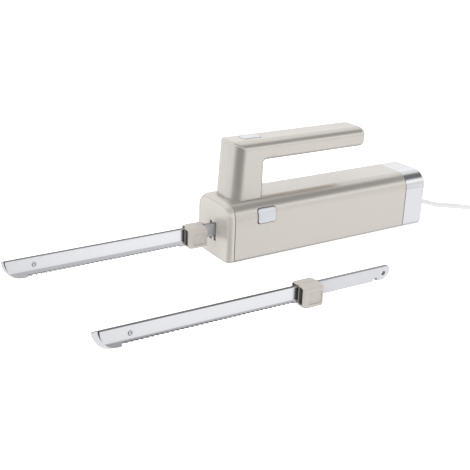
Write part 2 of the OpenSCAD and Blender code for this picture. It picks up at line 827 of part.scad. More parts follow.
// The second pair stands on its grips and tips in front of the knife
spare_at = [fx + 19.7, -128, 0];
spare_yaw = -1.5;
module spare_place() {
    translate(spare_at) rotate([0, 0, spare_yaw]) children();
}
module spare_blade_near() {
    color(c_steel) spare_place() near_blade(spare_len, fine_depth, fine_lift);
}
module spare_blade_far() {
    color(c_steel) spare_place() far_blade(spare_len, fine_depth, fine_lift);
}
module spare_grip_near() {
    color(c_grip) spare_place() mirror([0, 1, 0]) grip();
}
module spare_grip_far() {
    color(c_grip) spare_place() grip();
}
module spare_rivet() {
    color(c_steel) spare_place() rivet(spare_len);
}

// Lead

relief_z = 12;
relief_r = 5;
relief_tip_r = cord_d/2 + 0.9;
module strain_relief() {
    color(c_white) translate([tail_x, 0, relief_z]) rotate([0, 90, 0]) rotate_extrude() {
        polygon(concat([[0, -rear_end_wall - 2], [relief_r + 2, -rear_end_wall - 2],
                [relief_r + 2, -rear_end_wall], [relief_r, -rear_end_wall], [relief_r, 0]],
            [for (k = [0 : 4], p = [[0.1, 0], [0.6, 0], [0.7, -0.6], [0.95, -0.6]]) [
                relief_r + (relief_tip_r - relief_r)*(k + p[0])/5 + p[1], relief_l*(k + p[0])/5]],
            [[relief_tip_r, relief_l], [0, relief_l]]));
    }
}

// Points of the lead between the strain relief and the coil, on its middle line
cord_z = cord_d/2;
cord_points = [[tail_x + 22, 0, 12], [tail_x + 27, 0, 11.6], [tail_x + 36, 0, 9], [tail_x + 46, 0, 5.4],
    [tail_x + 56, -2, 3.1], [tail_x + 66, -7.5, cord_z], [tail_x + 75, -16, cord_z], [tail_x + 82, -24, cord_z],
    [tail_x + 88, -34, cord_z], [tail_x + 91.5, -45, cord_z], [tail_x + 93, -56, cord_z],
    [tail_x + 93, -62, cord_z]];

// A curve through the points, with n steps between each two
function curve(p, n) = [for (i = [0 : len(p) - 2], k = [0 : n - 1]) let (t = k/n,
        a = p[max(i - 1, 0)], b = p[i], c = p[i + 1], d = p[min(i + 2, len(p) - 1)])
        b + 0.5*t*((c - a) + t*((2*a - 5*b + 4*c - d) + t*(3*b - 3*c + d - a))), p[len(p) - 1]];
function unit(v) = v/norm(v);
// The rings of a tube of radius r with m sides along the points
function rings(p, r, m) = [for (i = [0 : len(p) - 1])
        let (t = unit(p[min(i + 1, len(p) - 1)] - p[max(i - 1, 0)]),
            s = unit(cross([0, 0, 1], t)), u = cross(t, s))
        for (k = [0 : m - 1]) let (a = 360*(k + 0.5)/m + 90) p[i] + r*(cos(a)*s + sin(a)*u)];
module tube(p, r, m) {
    n = len(p);
    polyhedron(rings(p, r, m), concat(
        [for (i = [0 : n - 2], k = [0 : m - 1]) [i*m + k, (i + 1)*m + k, (i + 1)*m + (k + 1) % m]],
        [for (i = [0 : n - 2], k = [0 : m - 1]) [i*m + k, (i + 1)*m + (k + 1) % m, i*m + (k + 1) % m]],
        [for (k = [1 : m - 2]) [0, k, k + 1]],
        [for (k = [1 : m - 2]) [(n - 1)*m, (n - 1)*m + k + 1, (n - 1)*m + k]]));
}
// A helical spring of mean radius r and wire radius w, h high
module spring(r, w, h, turns) {
    tube([for (k = [0 : 12*turns]) [r*cos(30*k), r*sin(30*k), w + (h - 2*w)*k/(12*turns)]], w, 6);
}
module cord() {
    color(c_white) tube(curve(cord_points, 3), cord_d/2, 8);
}

// Sizes of the plug
plug_l = 35;
plug_w = 26;
plug_t = 13.7;
plug_z = plug_t/2;

// The coil: two layers of turns, winding in below and out again on top
coil_gap = 0.6;
coil_pitch = cord_d + coil_gap;
coil_mid_r = 6*cord_d;
coil_turns = 3.25;
coil_in_r = coil_mid_r - coil_turns*coil_pitch/2;
coil_out_r = coil_in_r + coil_turns*coil_pitch;
coil_low = cord_d/2;
coil_at = [tail_x + 93 + coil_out_r, -62 - cord_d];
wind = 360*coil_turns;
function coil_r(a) = a < wind ? coil_out_r - coil_pitch*a/360
    : a < wind + 180 ? coil_in_r - coil_pitch/360*((a - wind) - pow(a - wind, 2)/180)
    : coil_in_r + coil_pitch*(a - wind - 180)/360;
function ease(t) = t*t*(3 - 2*t);
function coil_z(a) = coil_low + coil_pitch*ease(min(max((a - wind)/180, 0), 1));
coil_end = 2*wind + 180;
coil_turn = [for (a = [0 : 15 : coil_end]) [coil_at[0] + coil_r(a)*cos(a + 180),
    coil_at[1] + coil_r(a)*sin(a + 180), coil_z(a)]];
coil_tail = [for (s = [1 : 6]) coil_turn[len(coil_turn) - 1]
    + [0, -10*s, (plug_z - coil_low - coil_pitch)*ease(max(s - 2, 0)/4)]];
coil_path = concat([coil_turn[0] + [0, cord_d, 0]], coil_turn, coil_tail,
    [coil_tail[5] - [0, cord_d, 0]]);
module cord_coil() {
    color(c_white) tube(coil_path, cord_d/2, 6);
}
// Least gap between two stretches of the coil that lie at least a third of a turn apart
coil_least_gap = min([for (i = [0 : len(coil_path) - 9], j = [i + 8 : len(coil_path) - 1])
    norm(coil_path[i] - coil_path[j])]) - cord_d;
echo(coil_least_gap = coil_least_gap);

// The plug: a flat two-pin mains plug, each pin on a thinner shank that is moulded in
plug_start = coil_path[len(coil_path) - 1];
plug_face = plug_start[1] - plug_l;
plug_neck_l = 11;
pin_r = 2;
pin_l = 19;
shank_r = 1.5;
pin_apart = 18.4;
pin_in = 10;
module plug() {
    color(c_white) difference() {
        translate([plug_start[0], plug_start[1], 0]) union() {
            translate([0, 0, plug_z]) rotate([90, 0, 0]) cylinder(h = plug_neck_l, r1 = cord_d/2 + 1, r2 = 5.5);
            translate([0, -plug_neck_l + 1, 0]) linear_extrude(plug_t) polygon([[-6, 0], [6, 0],
                [plug_w/2, -14], [plug_w/2, plug_neck_l - 1 - plug_l], [-plug_w/2, plug_neck_l - 1 - plug_l],
                [-plug_w/2, -14]]);
        }
        at_pins(pin_in) cylinder(h = pin_in + 1, r = shank_r);
    }
}
// Both pins' axes, starting this far inside the plug's face
module at_pins(inside) {
    for (s = [-1, 1]) translate([plug_start[0] + s*pin_apart/2, plug_face + inside, plug_z])
        rotate([90, 0, 0]) children();
}
module plug_pins() {
    color(c_steel) {
        at_pins(pin_in) cylinder(h = pin_in + 1, r = shank_r);
        at_pins(0) cylinder(h = pin_l, r = pin_r);
    }
}

main_shell();
front_cap();
rear_cap();
handle_shell();
handle_screws();
base_screws();
switch_button();
switch_spring();
microswitch();
release_button();
release_spring();
chassis();
link_near();
link_far();
worm_wheel();
wheel_axle();
motor_shaft();
armature_core();
commutator();
fan();
field_stack();
field_coils();
brushes();
bearing_front();
bearing_rear();
circuit_board();
blade_near();
blade_far();
grip_near();
grip_far();
tip_rivet();
spare_blade_near();
spare_blade_far();
spare_grip_near();
spare_grip_far();
spare_rivet();
strain_relief();
cord();
cord_coil();
plug();
plug_pins();
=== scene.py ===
import math

import bmesh
import bpy
import numpy as np
from mathutils import Matrix, Vector
from mathutils.geometry import tessellate_polygon


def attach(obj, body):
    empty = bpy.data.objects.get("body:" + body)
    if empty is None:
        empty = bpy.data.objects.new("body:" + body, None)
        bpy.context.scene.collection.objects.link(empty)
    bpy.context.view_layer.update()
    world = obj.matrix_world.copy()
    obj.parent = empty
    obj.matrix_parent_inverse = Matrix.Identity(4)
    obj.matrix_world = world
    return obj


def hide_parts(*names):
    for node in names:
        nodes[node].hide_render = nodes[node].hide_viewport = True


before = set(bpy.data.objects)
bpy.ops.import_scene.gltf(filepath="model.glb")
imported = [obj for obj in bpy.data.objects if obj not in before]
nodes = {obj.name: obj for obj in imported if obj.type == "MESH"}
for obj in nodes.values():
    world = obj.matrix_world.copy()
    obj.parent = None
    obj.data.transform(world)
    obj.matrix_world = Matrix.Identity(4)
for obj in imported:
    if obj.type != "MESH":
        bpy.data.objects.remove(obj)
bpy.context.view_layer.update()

# The view: a long lens looks down on the knife from its front left, held a little aslant.
# The knife stands on white paper between pale walls, under a wide overhead light that its gloss doesn't see.
photo_px = 470
focal_px = 818.03
camera_turn = math.radians(-32.90)
camera_rise = math.radians(21.332)
camera_tilt = math.radians(2.009)
camera_place = Vector((-0.48892, -0.62063, 0.30429))
towards = Vector((math.sin(camera_turn)*math.cos(camera_rise), -math.cos(camera_turn)*math.cos(camera_rise),
                  math.sin(camera_rise)))
level = Vector((0, 0, 1)).cross(towards).normalized()
across = level*math.cos(camera_tilt) + towards.cross(level)*math.sin(camera_tilt)


def place_object(name, data):
    """Puts a new object into the scene, at the origin, unturned and unscaled."""
    thing = bpy.data.objects.new(name, data)
    bpy.context.scene.collection.objects.link(thing)
    return thing


lens = bpy.data.cameras.new("view")
lens.sensor_width = 36
lens.lens = focal_px/photo_px*lens.sensor_width
lens.clip_start = 0.01
camera = place_object("view", lens)
camera.matrix_world = Matrix((across, towards.cross(across), towards)).transposed().to_4x4()
camera.location = camera_place
bpy.context.scene.camera = camera
bpy.context.scene.view_settings.view_transform = "Standard"


class NodeTree:
    """The nodes of a material or a world. A method adds one node and gives back one of its outputs, which another
    node may take in place of a value."""

    def __init__(self, owner):
        owner.use_nodes = True
        self.owner, self.tree = owner, owner.node_tree

    def fill(self, node, *sockets, **values):
        """Sets a node's properties and its sockets, which are given by name or as (number, value). Gives the owner."""
        for key, value in values.items():
            if hasattr(node, key):
                setattr(node, key, value)
            else:
                sockets += ((key.replace("_", " "), value),)
        for key, value in sockets:
            if isinstance(value, bpy.types.NodeSocket):
                self.tree.links.new(value, node.inputs[key])
            else:
                node.inputs[key].default_value = value
        return self.owner

    def add(self, kind, output, *sockets, **values):
        """Adds a node of a kind with its values set."""
        node = self.tree.nodes.new("ShaderNode" + kind)
        self.fill(node, *sockets, **values)
        return node.outputs[output]

    def ramp(self, fac, *stops):
        """Adds a colour ramp; each stop is (place, colour)."""
        node = self.tree.nodes.new("ShaderNodeValToRGB")
        elements = node.color_ramp.elements
        for place, tint in stops[1:-1]:
            elements.new(place)
        elements[0].position, elements[-1].position = stops[0][0], stops[-1][0]
        for element, (place, tint) in zip(elements, stops):
            element.color = (*tint, 1)
        self.fill(node, Fac=fac)
        return node.outputs["Color"]

    def blend(self, kind, a, b):
        """Blends two colours in full."""
        return self.add("Mix", 2, (0, 1.0), (6, a), (7, b), data_type="RGBA", blend_type=kind)

    def dot(self, a, b):
        """The dot product of two vectors."""
        return self.add("VectorMath", "Value", (0, a), (1, b), operation="DOT_PRODUCT")


class Paint(NodeTree):
    """A new material, whose patterns lie in the object's own coordinates."""

    def __init__(self, name):
        super().__init__(bpy.data.materials.new(name))
        self.place = self.add("TexCoord", "Object")

    def noise(self, scale, detail=2.0, stretch=None):
        """Soft noise, stretched along the axes by stretch."""
        place = self.add("Mapping", "Vector", Vector=self.place, Scale=stretch) if stretch else self.place
        return self.add("TexNoise", "Fac", Vector=place, Scale=scale, Detail=detail)

    def between(self, value, low, high):
        """Takes a value from 0-1 to low-high."""
        return self.add("MapRange", "Result", Value=value, To_Min=low, To_Max=high)

    def bump(self, height, strength, distance):
        """A normal that follows height."""
        return self.add("Bump", "Normal", Height=height, Strength=strength, Distance=distance)

    def shade(self, **values):
        """Sets the Principled shader and gives back the material."""
        return self.fill(self.tree.nodes["Principled BSDF"], **values)


def floor_look():
    """White paper with a barely felt tooth. It is lit through from behind, as a photographer's light table is."""
    paper = Paint("paper")
    return paper.shade(Base_Color=(0.93, 0.93, 0.93, 1), Roughness=0.9, Specular_IOR_Level=0.1,
                       Emission_Color=(1, 1, 1, 1), Emission_Strength=0.55,
                       Normal=paper.bump(paper.noise(900.0), 0.02, 0.0002))


floor_half = 4.0
floor_mesh = bpy.data.meshes.new("floor")
floor_mesh.from_pydata([(x*floor_half, y*floor_half, 0) for x, y in ((-1, -1), (1, -1), (1, 1), (-1, 1))],
                       [], [(0, 1, 2, 3)])
floor_mesh.materials.append(floor_look())
floor = place_object("floor", floor_mesh)
floor.visible_glossy = False

overhead_lamp = bpy.data.lights.new("overhead", "SUN")
overhead_lamp.energy = 1.7
overhead_lamp.angle = math.radians(100)
overhead = place_object("overhead", overhead_lamp)
overhead.rotation_euler = Vector((0.15, 0.25, -1)).to_track_quat("-Z", "Y").to_euler()
overhead.visible_glossy = False

# What the gloss mirrors: a bright band of paper and walls from well below the horizon to well above it,
# a white screen overhead that ends above the knife, the dark ceiling in front of it, and the camera's dark gap.
towards_screen, towards_gap = (0, 1, 1), (-0.507, -0.780, -0.366)
grey_at_height = ((-1.0, 0.12), (-0.86, 0.30), (-0.74, 0.66), (-0.55, 0.95), (-0.30, 1.08), (0.0, 0.95),
                  (0.20, 0.85), (0.32, 1.22), (0.46, 1.20), (0.60, 0.20), (1.0, 0.20))
world = bpy.data.worlds.new("pale_studio")
bpy.context.scene.world = world
walls = NodeTree(world)
direction = walls.add("TexCoord", "Generated")
height = walls.add("MapRange", "Result", Value=walls.add("SeparateXYZ", "Z", Vector=direction), From_Min=-1)
tone = walls.ramp(height, *(((z + 1)/2, (grey, grey, grey*1.005)) for z, grey in grey_at_height))
screen = walls.add("MapRange", "Result", Value=walls.dot(direction, towards_screen), From_Min=0.60, From_Max=0.94)
gap_share = walls.add("MapRange", "Result", Value=walls.dot(direction, towards_gap), From_Min=0.62, From_Max=0.97,
                      To_Min=1.0, To_Max=0.10, interpolation_type="SMOOTHSTEP")
walls.fill(walls.tree.nodes["Background"], Color=walls.blend("LIGHTEN", tone, screen), Strength=gap_share)

# The lead: a round white mains cable that leaves the strain relief, drops to the table and runs
# off to a neat coil of seven turns in two layers, with its plug beside it.
cord_d = 0.0055
tail_x = 0.134
cord_z = cord_d/2
cord_points = np.array([
    (tail_x + 0.022, 0, 0.012), (tail_x + 0.027, 0, 0.0116), (tail_x + 0.036, 0, 0.009),
    (tail_x + 0.046, 0, 0.0054), (tail_x + 0.056, -0.002, 0.0031), (tail_x + 0.066, -0.0075, cord_z),
    (tail_x + 0.075, -0.016, cord_z), (tail_x + 0.082, -0.024, cord_z), (tail_x + 0.088, -0.034, cord_z),
    (tail_x + 0.0915, -0.045, cord_z), (tail_x + 0.093, -0.056, cord_z), (tail_x + 0.093, -0.062, cord_z)])
plug_l = 0.035
plug_w = 0.026
plug_t = 0.0137
plug_z = plug_t/2
coil_pitch = cord_d + 0.0006
coil_turns = 3.25
coil_in_r = 6*cord_d - coil_turns*coil_pitch/2
coil_out_r = coil_in_r + coil_turns*coil_pitch
coil_at = (tail_x + 0.093 + coil_out_r, -0.062 - cord_d)


def smooth_route(points, steps):
    """A curve through the points: each span is the cubic whose slope at a point is half the step from the point
    before to the point after."""
    p = np.concatenate([points[:1], points, points[-1:]])
    a, b, c, d = (p[k:len(p) - 3 + k, None, :] for k in range(4))
    t = np.arange(steps)[None, :, None]/steps
    spans = b + 0.5*t*((c - a) + t*((2*a - 5*b + 4*c - d) + t*(3*b - 3*c + d - a)))
    return np.concatenate([spans.reshape(-1, 3), points[-1:]])


def ease(t):
    """Goes from 0 to 1 with no slope at either end."""
    t = np.clip(t, 0, 1)
    return t*t*(3 - 2*t)


def coil_route(step_deg):
    """Winds in at a steady rate, climbs a layer in the half turn where it reverses, and winds out on top."""
    wind = 360*coil_turns
    a = np.arange(0, 2*wind + 180 + 1e-6, step_deg)
    turning = a - wind
    radius = np.where(turning < 0, coil_out_r - coil_pitch*a/360,
                      np.where(turning < 180, coil_in_r - coil_pitch/360*(turning - turning**2/180),
                               coil_in_r + coil_pitch*(turning - 180)/360))
    around = np.radians(a + 180)
    turns = np.stack([coil_at[0] + radius*np.cos(around), coil_at[1] + radius*np.sin(around),
                      cord_z + coil_pitch*ease(turning/180)], 1)
    s = np.arange(1, 7)[:, None]
    drop = (plug_z - cord_z - coil_pitch)*ease((s - 2)/4)
    tail = turns[-1] + np.concatenate([0*s, -0.010*s, drop], 1)
    return np.concatenate([turns, tail, tail[-1:] + [(0, -cord_d, 0)]])


def lead_look():
    """White flexible sheath: soft gloss, with a faint grain and a trace of handling dirt."""
    sheath = Paint("lead_sheath")
    dirt = sheath.ramp(sheath.noise(40.0, 4.0), (0, (0.62, 0.62, 0.615)), (1, (0.70, 0.70, 0.70)))
    return sheath.shade(Base_Color=dirt, Roughness=0.42, Normal=sheath.bump(sheath.noise(2500.0), 0.08, 0.0002))


lead_white = lead_look()
lead_route = np.concatenate([smooth_route(cord_points, 6)[:-1], coil_route(7.5)])
lead_curve = bpy.data.curves.new("lead", "CURVE")
lead_curve.dimensions = "3D"
lead_curve.bevel_depth = cord_d/2
lead_curve.bevel_resolution = 5
lead_curve.use_fill_caps = True
strand = lead_curve.splines.new("POLY")
strand.points.add(len(lead_route) - 1)
strand.points.foreach_set("co", np.concatenate([lead_route, np.ones((len(lead_route), 1))], 1).ravel())
strand.use_smooth = True
lead_curve.materials.append(lead_white)
lead = place_object("lead", lead_curve)
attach(lead, "housing")
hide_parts("cord", "cord_coil")

# The plug: a flat moulded two-pin plug on the lead's end, with a grip waist and a ribbed neck.
# Its pins are nickel-plated brass and stay as the model has them.


def rounded_outline(corners, steps=8, keep=0.0004):
    """Walks a closed outline whose corners are arcs: each corner gives (a, b, radius). An arc has steps + 1 points,
    and one more point stands on the straight, keep before it and after it, so that the straights shade flat."""
    c = np.array(corners, float)
    at, radius = c[:, :2], c[:, 2:]
    back, ahead = np.roll(at, 1, 0) - at, np.roll(at, -1, 0) - at
    back /= np.linalg.norm(back, axis=1, keepdims=True)
    ahead /= np.linalg.norm(ahead, axis=1, keepdims=True)
    half = 0.5*np.arccos(np.clip((back*ahead).sum(1, keepdims=True), -1, 1))
    reach = radius/np.tan(half)
    inward = back + ahead
    centre = at + inward/np.linalg.norm(inward, axis=1, keepdims=True)*radius/np.sin(half)
    first, last = at + back*reach, at + ahead*reach
    turn = (math.pi - 2*half)[:, None]
    t = np.linspace(0, 1, steps + 1)[None, :, None]
    spoke = (np.sin((1 - t)*turn)*(first - centre)[:, None] + np.sin(t*turn)*(last - centre)[:, None])/np.sin(turn)
    arcs = centre[:, None] + spoke
    return np.concatenate([(first + back*keep)[:, None], arcs, (last + ahead*keep)[:, None]], 1).reshape(-1, 2)


def skin(rings, looped=False, caps=(0, -1)):
    """Faces between rings of equal length, each ring closed on itself. looped joins the last ring to the first; caps
    names the end rings that one flat face closes. Returns the points and a list of faces."""
    rings = np.asarray(rings, float)
    count, around = rings.shape[:2]
    here = np.arange(count if looped else count - 1)[:, None]*around
    there = (here + around) % (count*around)
    k = np.arange(around)[None, :]
    after = (k + 1) % around
    faces = np.stack([here + k, here + after, there + after, there + k], 2).reshape(-1, 4).tolist()
    if not looped:
        ends = {0: list(range(around))[::-1], -1: list(range((count - 1)*around, count*around))}
        faces += [ends[cap] for cap in caps]
    return rings.reshape(-1, 3), faces


def make_piece(name, parts, look, body, replaced=(), sharp=35, weld=2e-6):
    """Makes one object of (points, faces) parts: points closer than weld are merged, every closed shell faces
    outwards, and edges sharper than sharp degrees stay sharp."""
    starts = np.cumsum([0] + [len(points) for points, _ in parts])
    faces = [[i + start for i in face] for start, (_, part) in zip(starts.tolist(), parts) for face in part]
    mesh = bpy.data.meshes.new(name)
    mesh.from_pydata(np.concatenate([points for points, _ in parts]).tolist(), [], faces)
    shape = bmesh.new()
    shape.from_mesh(mesh)
    bmesh.ops.remove_doubles(shape, verts=shape.verts, dist=weld)
    bmesh.ops.recalc_face_normals(shape, faces=shape.faces)
    shape.to_mesh(mesh)
    shape.free()
    mesh.shade_smooth()
    mesh.set_sharp_from_angle(angle=math.radians(sharp))
    mesh.materials.append(look)
    piece = place_object(name, mesh)
    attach(piece, body)
    if replaced:
        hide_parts(*replaced)
    return piece


def box_corners(half_a, low_b, high_b, radius_low, radius_high):
    """The four corners of an upright rectangle round a = 0, with one radius below and one above."""
    return [(-half_a, low_b, radius_low), (-half_a, high_b, radius_high),
            (half_a, high_b, radius_high), (half_a, low_b, radius_low)]


plug_start = lead_route[-1]


def plug_ring(along, half, thick, radius):
    """One cross-section of the plug, along metres from its cable end."""
    o = rounded_outline(box_corners(half, -thick, thick, radius, radius), 6)
    return np.stack([plug_start[0] + o[:, 0], np.full(len(o), plug_start[1] - along), plug_z + o[:, 1]], 1)


neck_r = cord_d/2
plug_shape = [(0.0, neck_r + 0.0003, neck_r + 0.0003, neck_r)]
plug_shape += [(0.0012 + 0.0018*k + d, neck_r + 0.0010 + 0.0003*k - e, neck_r + 0.0010 + 0.00025*k - e, neck_r - 0.0002)
               for k in range(5) for d, e in ((0, 0), (0.0007, 0), (0.0009, 0.0006), (0.0015, 0.0006))]
plug_shape += [(0.0112, 0.0052, 0.0046, 0.0040), (0.0125, 0.0062, 0.0056, 0.0042), (0.016, 0.0090, 0.0060, 0.0040),
               (0.020, 0.0112, 0.0062, 0.0036), (0.024, 0.0122, 0.0066, 0.0034), (0.027, plug_w/2, plug_t/2, 0.0034),
               (plug_l - 0.0008, plug_w/2, plug_t/2, 0.0034),
               (plug_l - 0.0002, plug_w/2 - 0.0003, plug_t/2 - 0.0003, 0.0032),
               (plug_l, plug_w/2 - 0.0008, plug_t/2 - 0.0008, 0.003)]
plug = make_piece("mains_plug", [skin([plug_ring(*shape) for shape in plug_shape])], lead_white, "housing",
                  ["plug"], sharp=40)

# The body: one long tube moulded in plastic and sprayed with a satin champagne lacquer that
# holds a fine metal flake. A hole in its left wall takes the release button.


def lacquer_look(name, metal):
    """Champagne metal lacquer: a fine flake under a satin top coat, with a little unevenness. metal is its share of
    mirroring flake."""
    coat = Paint(name)
    flake = coat.ramp(coat.add("TexVoronoi", "Color", Vector=coat.place, Scale=5200.0),
                      (0, (0.545, 0.515, 0.475)), (1, (0.625, 0.595, 0.555)))
    return coat.shade(Base_Color=flake, Metallic=metal, Roughness=coat.between(coat.noise(18.0, 3.0), 0.22, 0.29),
                      Coat_Weight=0.25, Coat_Roughness=0.16, Normal=coat.bump(coat.noise(700.0), 0.05, 0.0001))


lacquer = lacquer_look("champagne_lacquer", 0.72)
body_w, body_h = 0.058, 0.058
edge_r, foot_r, wall = 0.016, 0.004, 0.0024
front_x, rear_x = -0.106, 0.106
seam = 0.00015
arc_z = body_h - edge_r
button_at = (front_x + 0.035, 0.0428)
button_half = (0.010, 0.00725)
button_r = 0.0025
gap = 0.0004
hole_margin = 0.0014
flat_step = 0.0004
section_steps = 14


def at_x(outline, x):
    """An outline drawn across the body, stood at x."""
    return np.concatenate([np.full((len(outline), 1), x), outline], 1)


def at_y(flat, y):
    """An outline drawn from the side, stood at y."""
    return np.stack([flat[:, 0], np.full(len(flat), y), flat[:, 1]], 1)


def seam_lip(lip):
    """A seam's edge as (distance along, inset): the wall's end, a quarter round of radius lip, and a short straight."""
    round_over = [(lip*(1 - math.cos(t)), lip*(1 - math.sin(t))) for t in np.linspace(0, math.pi/2, 5)]
    return [(0, wall)] + round_over + [(lip + flat_step, 0)]


def body_corners(inset):
    """The corners of the body's section, drawn in by inset."""
    return box_corners(body_w/2 - inset, inset, body_h - inset, max(foot_r - inset, 0.0006), edge_r - inset)


def side_y(z, inset):
    """Where the left wall stands at height z: straight below, then a quarter circle of edge_r less inset."""
    over = np.clip(z - arc_z, 0, None)
    return -(body_w/2 - edge_r) - np.sqrt((edge_r - inset)**2 - over**2)


def hole_lines(half, radius, margin):
    """Grid lines both ways over a hole that is 2*half across and its margin, closer together where its corners turn."""
    both = []
    for h in half:
        turn = h + margin - np.linspace(0, margin + radius, 8)
        flat = np.linspace(turn[-1], -turn[-1], 6)[1:-1]
        both.append(np.concatenate([-turn, -flat, turn[::-1]]))
    return both


def hole_frame(us, vs):
    """The points round the edge of a block of grid lines, once round."""
    return np.concatenate([np.stack([us[:-1], np.full(len(us) - 1, vs[0])], 1),
                           np.stack([np.full(len(vs) - 1, us[-1]), vs[:-1]], 1),
                           np.stack([us[:0:-1], np.full(len(us) - 1, vs[-1])], 1),
                           np.stack([np.full(len(vs) - 1, us[0]), vs[:0:-1]], 1)])


def hole_edge(frame_points, half, radius, grow):
    """The rounded rectangle under a frame of points: each point drops square to the nearest straight or arc."""
    core = np.clip(frame_points, -(np.array(half) - radius), np.array(half) - radius)
    out = frame_points - core
    return core + out/np.linalg.norm(out, axis=1, keepdims=True)*(radius + grow)


def hole_patch(lines, half, radius, rim, lay):
    """The rings from a block's edge to the hole's: flat up to a rim that rounds over inwards as a quarter circle. lay
    places (flat points, depth) in the model. Returns the block's edge and the rings."""
    line = hole_frame(*lines)
    rings = [lay(line, 0), lay((line + hole_edge(line, half, radius, rim))/2, 0)]
    rings += [lay(hole_edge(line, half, radius, rim*(1 - math.sin(t))), rim*(1 - math.cos(t)))
              for t in np.linspace(0, math.pi/2, 4)]
    return line, rings


def recess(lines, half, radius, rim, deep, lay):
    """A block's patch with straight walls and a floor, deep below the surface."""
    line, rings = hole_patch(lines, half, radius, rim, lay)
    return skin(rings + [lay(hole_edge(line, half, radius, 0), deep)], caps=(-1,))


def cut_out(points, faces, inside):
    """Leaves out the quads whose middle lies where inside says, given x, y and z."""
    quads = np.array([f for f in faces if len(f) == 4])
    hit = inside(*points[quads].mean(1).T)
    return points, quads[~hit].tolist() + [f for f in faces if len(f) != 4]


def side_point(flat, depth):
    """Points of the left wall's outside at (x, z) from the button's middle, moved straight inwards by depth."""
    x, z = (flat + button_at).T
    return np.stack([x, side_y(z, 0) + depth, z], 1)


def shell_piece():
    """A closed tube: the section carried along X outside, round both ends and back inside, less the button's hole."""
    half = np.add(button_half, gap)
    us, vs = lines = hole_lines(half, button_r, hole_margin)
    line_z = button_at[1] + vs
    lean = np.arcsin(np.clip((line_z - arc_z)/edge_r, 0, 1))
    wall_lines = np.stack([side_y(line_z, 0), line_z], 1)
    inner_lines = wall_lines + wall*np.stack([np.cos(lean), -np.sin(lean)], 1)
    base, inner = (rounded_outline(body_corners(inset), section_steps) for inset in (0, wall))
    start = section_steps + 3
    stop = start + int(np.flatnonzero(base[start:, 1] > line_z[-1] + 0.0003)[0])
    outer = np.concatenate([base[:start], wall_lines, base[stop:]])
    inside = np.concatenate([inner[:start], inner_lines, inner[stop:]])
    front_end = [(front_x + seam + x, d) for x, d in seam_lip(0.0005)]
    path = front_end + [(button_at[0] + u, 0) for u in us] + [(-x, d) for x, d in front_end[::-1]]
    path += [(button_at[0] + u, wall) for u in us[::-1]]
    points, faces = skin([at_x(outer + (inside - outer)*(d/wall), x) for x, d in path], looped=True)
    quads = np.array(faces)
    middle_x = points[quads].mean(1)[:, 0]
    line = quads[:, 0] % len(outer)
    in_block = (line >= start) & (line < start + len(vs) - 1) & (np.abs(middle_x - button_at[0]) < us[-1])
    frame_line, patch = hole_patch(lines, half, button_r, 0.00025, side_point)
    edge = hole_edge(frame_line, half, button_r, 0) + button_at
    patch.append(np.stack([edge[:, 0], side_y(edge[:, 1], wall), edge[:, 1]], 1))
    x, z = (frame_line + button_at).T
    lean = np.arcsin(np.clip((z - arc_z)/edge_r, 0, 1))
    patch.append(np.stack([x, side_y(z, 0) + wall*np.cos(lean), z - wall*np.sin(lean)], 1))
    return make_piece("body_shell", [(points, quads[~in_block].tolist()), skin(patch, caps=())], lacquer,
                      "housing", ["main_shell"], sharp=50)


shell_piece()

# The front cap: a shallow moulding in the same lacquer, with a straight rim at the seam, a rounded
# shoulder and a flat face. The tangs go in through its slot, a bar with a tall leg on either side.
cap_len = 0.0068
cap_rim = 0.0021
cap_draft = 0.0026
cap_groove = ((0.0001, 0.0001), (0.0002, 0.00035), (0.0004, 0.00035), (0.0005, 0.0001), (0.0006, 0))
face_x = front_x - cap_len
plate_in, blade_t = 0.0002, 0.0016
plate_out = plate_in + blade_t
blade_h, tang_h = 0.018, 0.0125
grip_z = 0.0145
tang_z = grip_z + blade_h - tang_h
leg_in = plate_out + 0.00021
leg_out = leg_in + 0.0035


def cap_ring(x, inset):
    """The cap's section at x: drawn in by inset at the sides and the top, and by less at the base."""
    return at_x(rounded_outline(box_corners(body_w/2 - inset, 0.3*inset, body_h - inset, foot_r, edge_r - inset),
                                section_steps), x)


def slot_outline(grow):
    """The slot from the front: the bar between the legs is as high as a tang, the legs reach above and below it."""
    bar = (tang_z - 0.0008 - grow, tang_z + tang_h + 0.0003 + grow)
    leg = (grip_z + 0.0012 - grow, grip_z + 0.0197 + grow)
    r = 0.0003 + grow
    right = [(leg_in - grow, bar[0], 0.0001), (leg_in - grow, leg[0], 0.0001), (leg_out + grow, leg[0], r),
             (leg_out + grow, leg[1], r), (leg_in - grow, leg[1], 0.0001), (leg_in - grow, bar[1], 0.0001)]
    left = [(-y, z, k) for y, z, k in right[::-1]]
    return rounded_outline(right + left, 3, 0.00005)


def flat_between(outer, inner):
    """Flat faces between an outline and a hole in it, both rings in one plane across X."""
    loops = [[Vector(v)*1000 for v in outer], [Vector(v)*1000 for v in inner]]
    return np.concatenate([outer, inner]), [list(t) for t in tessellate_polygon(loops)]


cap_lacquer = lacquer_look("cap_lacquer", 0.40)


